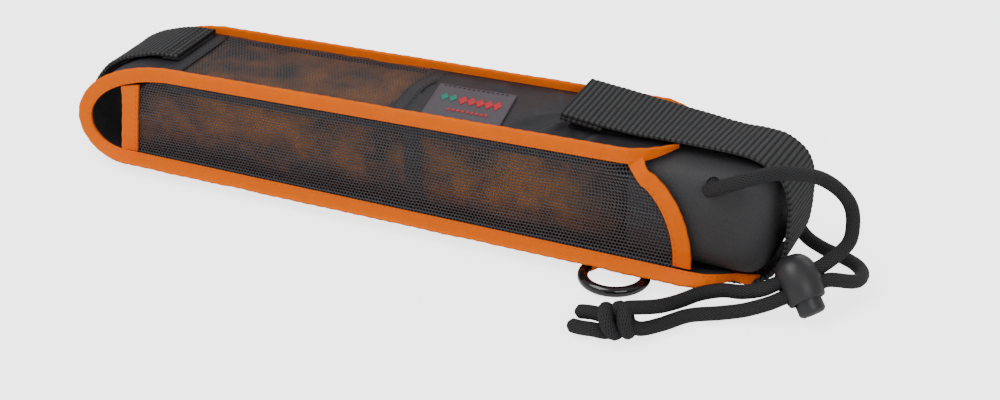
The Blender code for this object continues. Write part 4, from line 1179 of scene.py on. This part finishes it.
def bundleSpot(x, angle, grow, pleats):
    # The rolled canopy's skin, squarer above than below, drawn in towards the handle.
    tall = (roofOver(x) - 1.2 - canopy["low"]) / 2
    drift = 0.012 * x + 0.6 * noise.noise(Vector((x / 22, cos(angle) * 1.3, sin(angle) * 1.3)))
    crease = abs(cos(canopy["pleats"] * angle + drift)) ** 0.6
    deep = 0.9 * (1 - crease) + 0.5 * noise.noise(Vector((x / 9, angle * 2.0, 5.0)))
    pinch = 0.5 * exp(-((x - 4) / 5) ** 2)
    inward = (max(-0.2, deep) + pinch) if pleats else 0.0
    inward += 7 * max(0.0, (x - 72) / 14) ** 2
    c, s = cos(angle), sin(angle)
    n = 2 / (2.3 if s < 0 else 14 if c > 0 else 7)
    side = canopy["wide"] if c < 0 else canopy["deep"] + (0.0 if s < 0 else 0.7 * inward)
    return Vector((x, (side + grow - inward) * squared(c, n),
                   canopy["low"] + tall + (tall + grow - inward) * squared(s, n)))


def around(name, start, end, grow, look, replaced, fineX, fineRound, pleats, thick):
    work = surface(fineRound, fineX, lambda u, v: bundleSpot(start + (end - start) * v,
                                                            2 * pi * u, grow, pleats),
                   lambda u, v: (u * 120, v * (end - start)), closed=True)
    return finishPiece(work, name, look, "sleeve", replaced, sharp=80, thick=thick)


piece = around("canopyRoll", canopy["start"], canopy["end"], -0.2, canopyLook,
               ["canopy"], 170, 160, True, canopy["thick"])
around("tieBand", 0.5, 7.5, -0.1, nylon, ["tie_band"], 6, 72, False, 0.3)

cap = dict(x=-128.4, z=20.5)
capProfile = [(0.0, 0.0), (3.0, 0.15), (6.0, 0.6), (9.0, 1.5), (11.0, 2.6), (12.8, 4.2),
              (14.0, 6.0), (14.6, 8.0), (14.8, 10.0), (14.0, 10.2), (0.0, 10.2)]
work = turned([(r, -x) for r, x in capProfile])
bmesh.ops.transform(work, matrix=Matrix.Translation((cap["x"], 0, cap["z"]))
                    @ Matrix.Rotation(radians(-90), 4, "Y"), verts=work.verts)
bmesh.ops.recalc_face_normals(work, faces=work.faces)
finishPiece(work, "tipCap", paintedHighlightCapLook, "sleeve", ["tip_cap"], sharp=40)
print("umbrella made")


# What stays of the CAD nodes.
kept = {"shaft": alloy, "rib_": ribSteel, "stretcher": ribSteel, "cord_lock_spring": steel,
        "top_crown": moulded, "runner": moulded, "handle_core": moulded}
for name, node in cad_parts.items():
    for start, look in kept.items():
        if name.startswith(start):
            for slotAt in range(len(node.data.materials)):
                node.data.materials[slotAt] = look


# Floor and light.
work = bmesh.new()
bmesh.ops.create_grid(work, x_segments=1, y_segments=1, size=6.0)
paper = stand("paper", meshOf(work, "paper"))
paper.data.materials.append(makePaper())
paper.location.z = -0.0002

world = bpy.data.worlds.new("studio")
world.use_nodes = True
sky = world.node_tree.nodes["Background"].inputs
sky[0].default_value, sky[1].default_value = (1, 1, 1, 1), 0.5
bpy.context.scene.world = world


def softBox(name, place, wide, tall, power):
    light = bpy.data.lights.new(name, "AREA")
    light.shape, light.size, light.size_y, light.energy = "RECTANGLE", wide, tall, power
    lamp = stand(name, light)
    lamp.location = place
    lamp.rotation_euler = (Vector(place) - Vector((0, 0, 0.02))).to_track_quat("Z", "Y").to_euler()


softBox("key", (-0.5, -0.5, 1.1), 0.9, 0.9, 11)
softBox("fill", (0.9, -0.9, 0.7), 0.8, 0.6, 4.5)
softBox("rim", (0.3, 1.0, 0.8), 1.0, 0.5, 4)
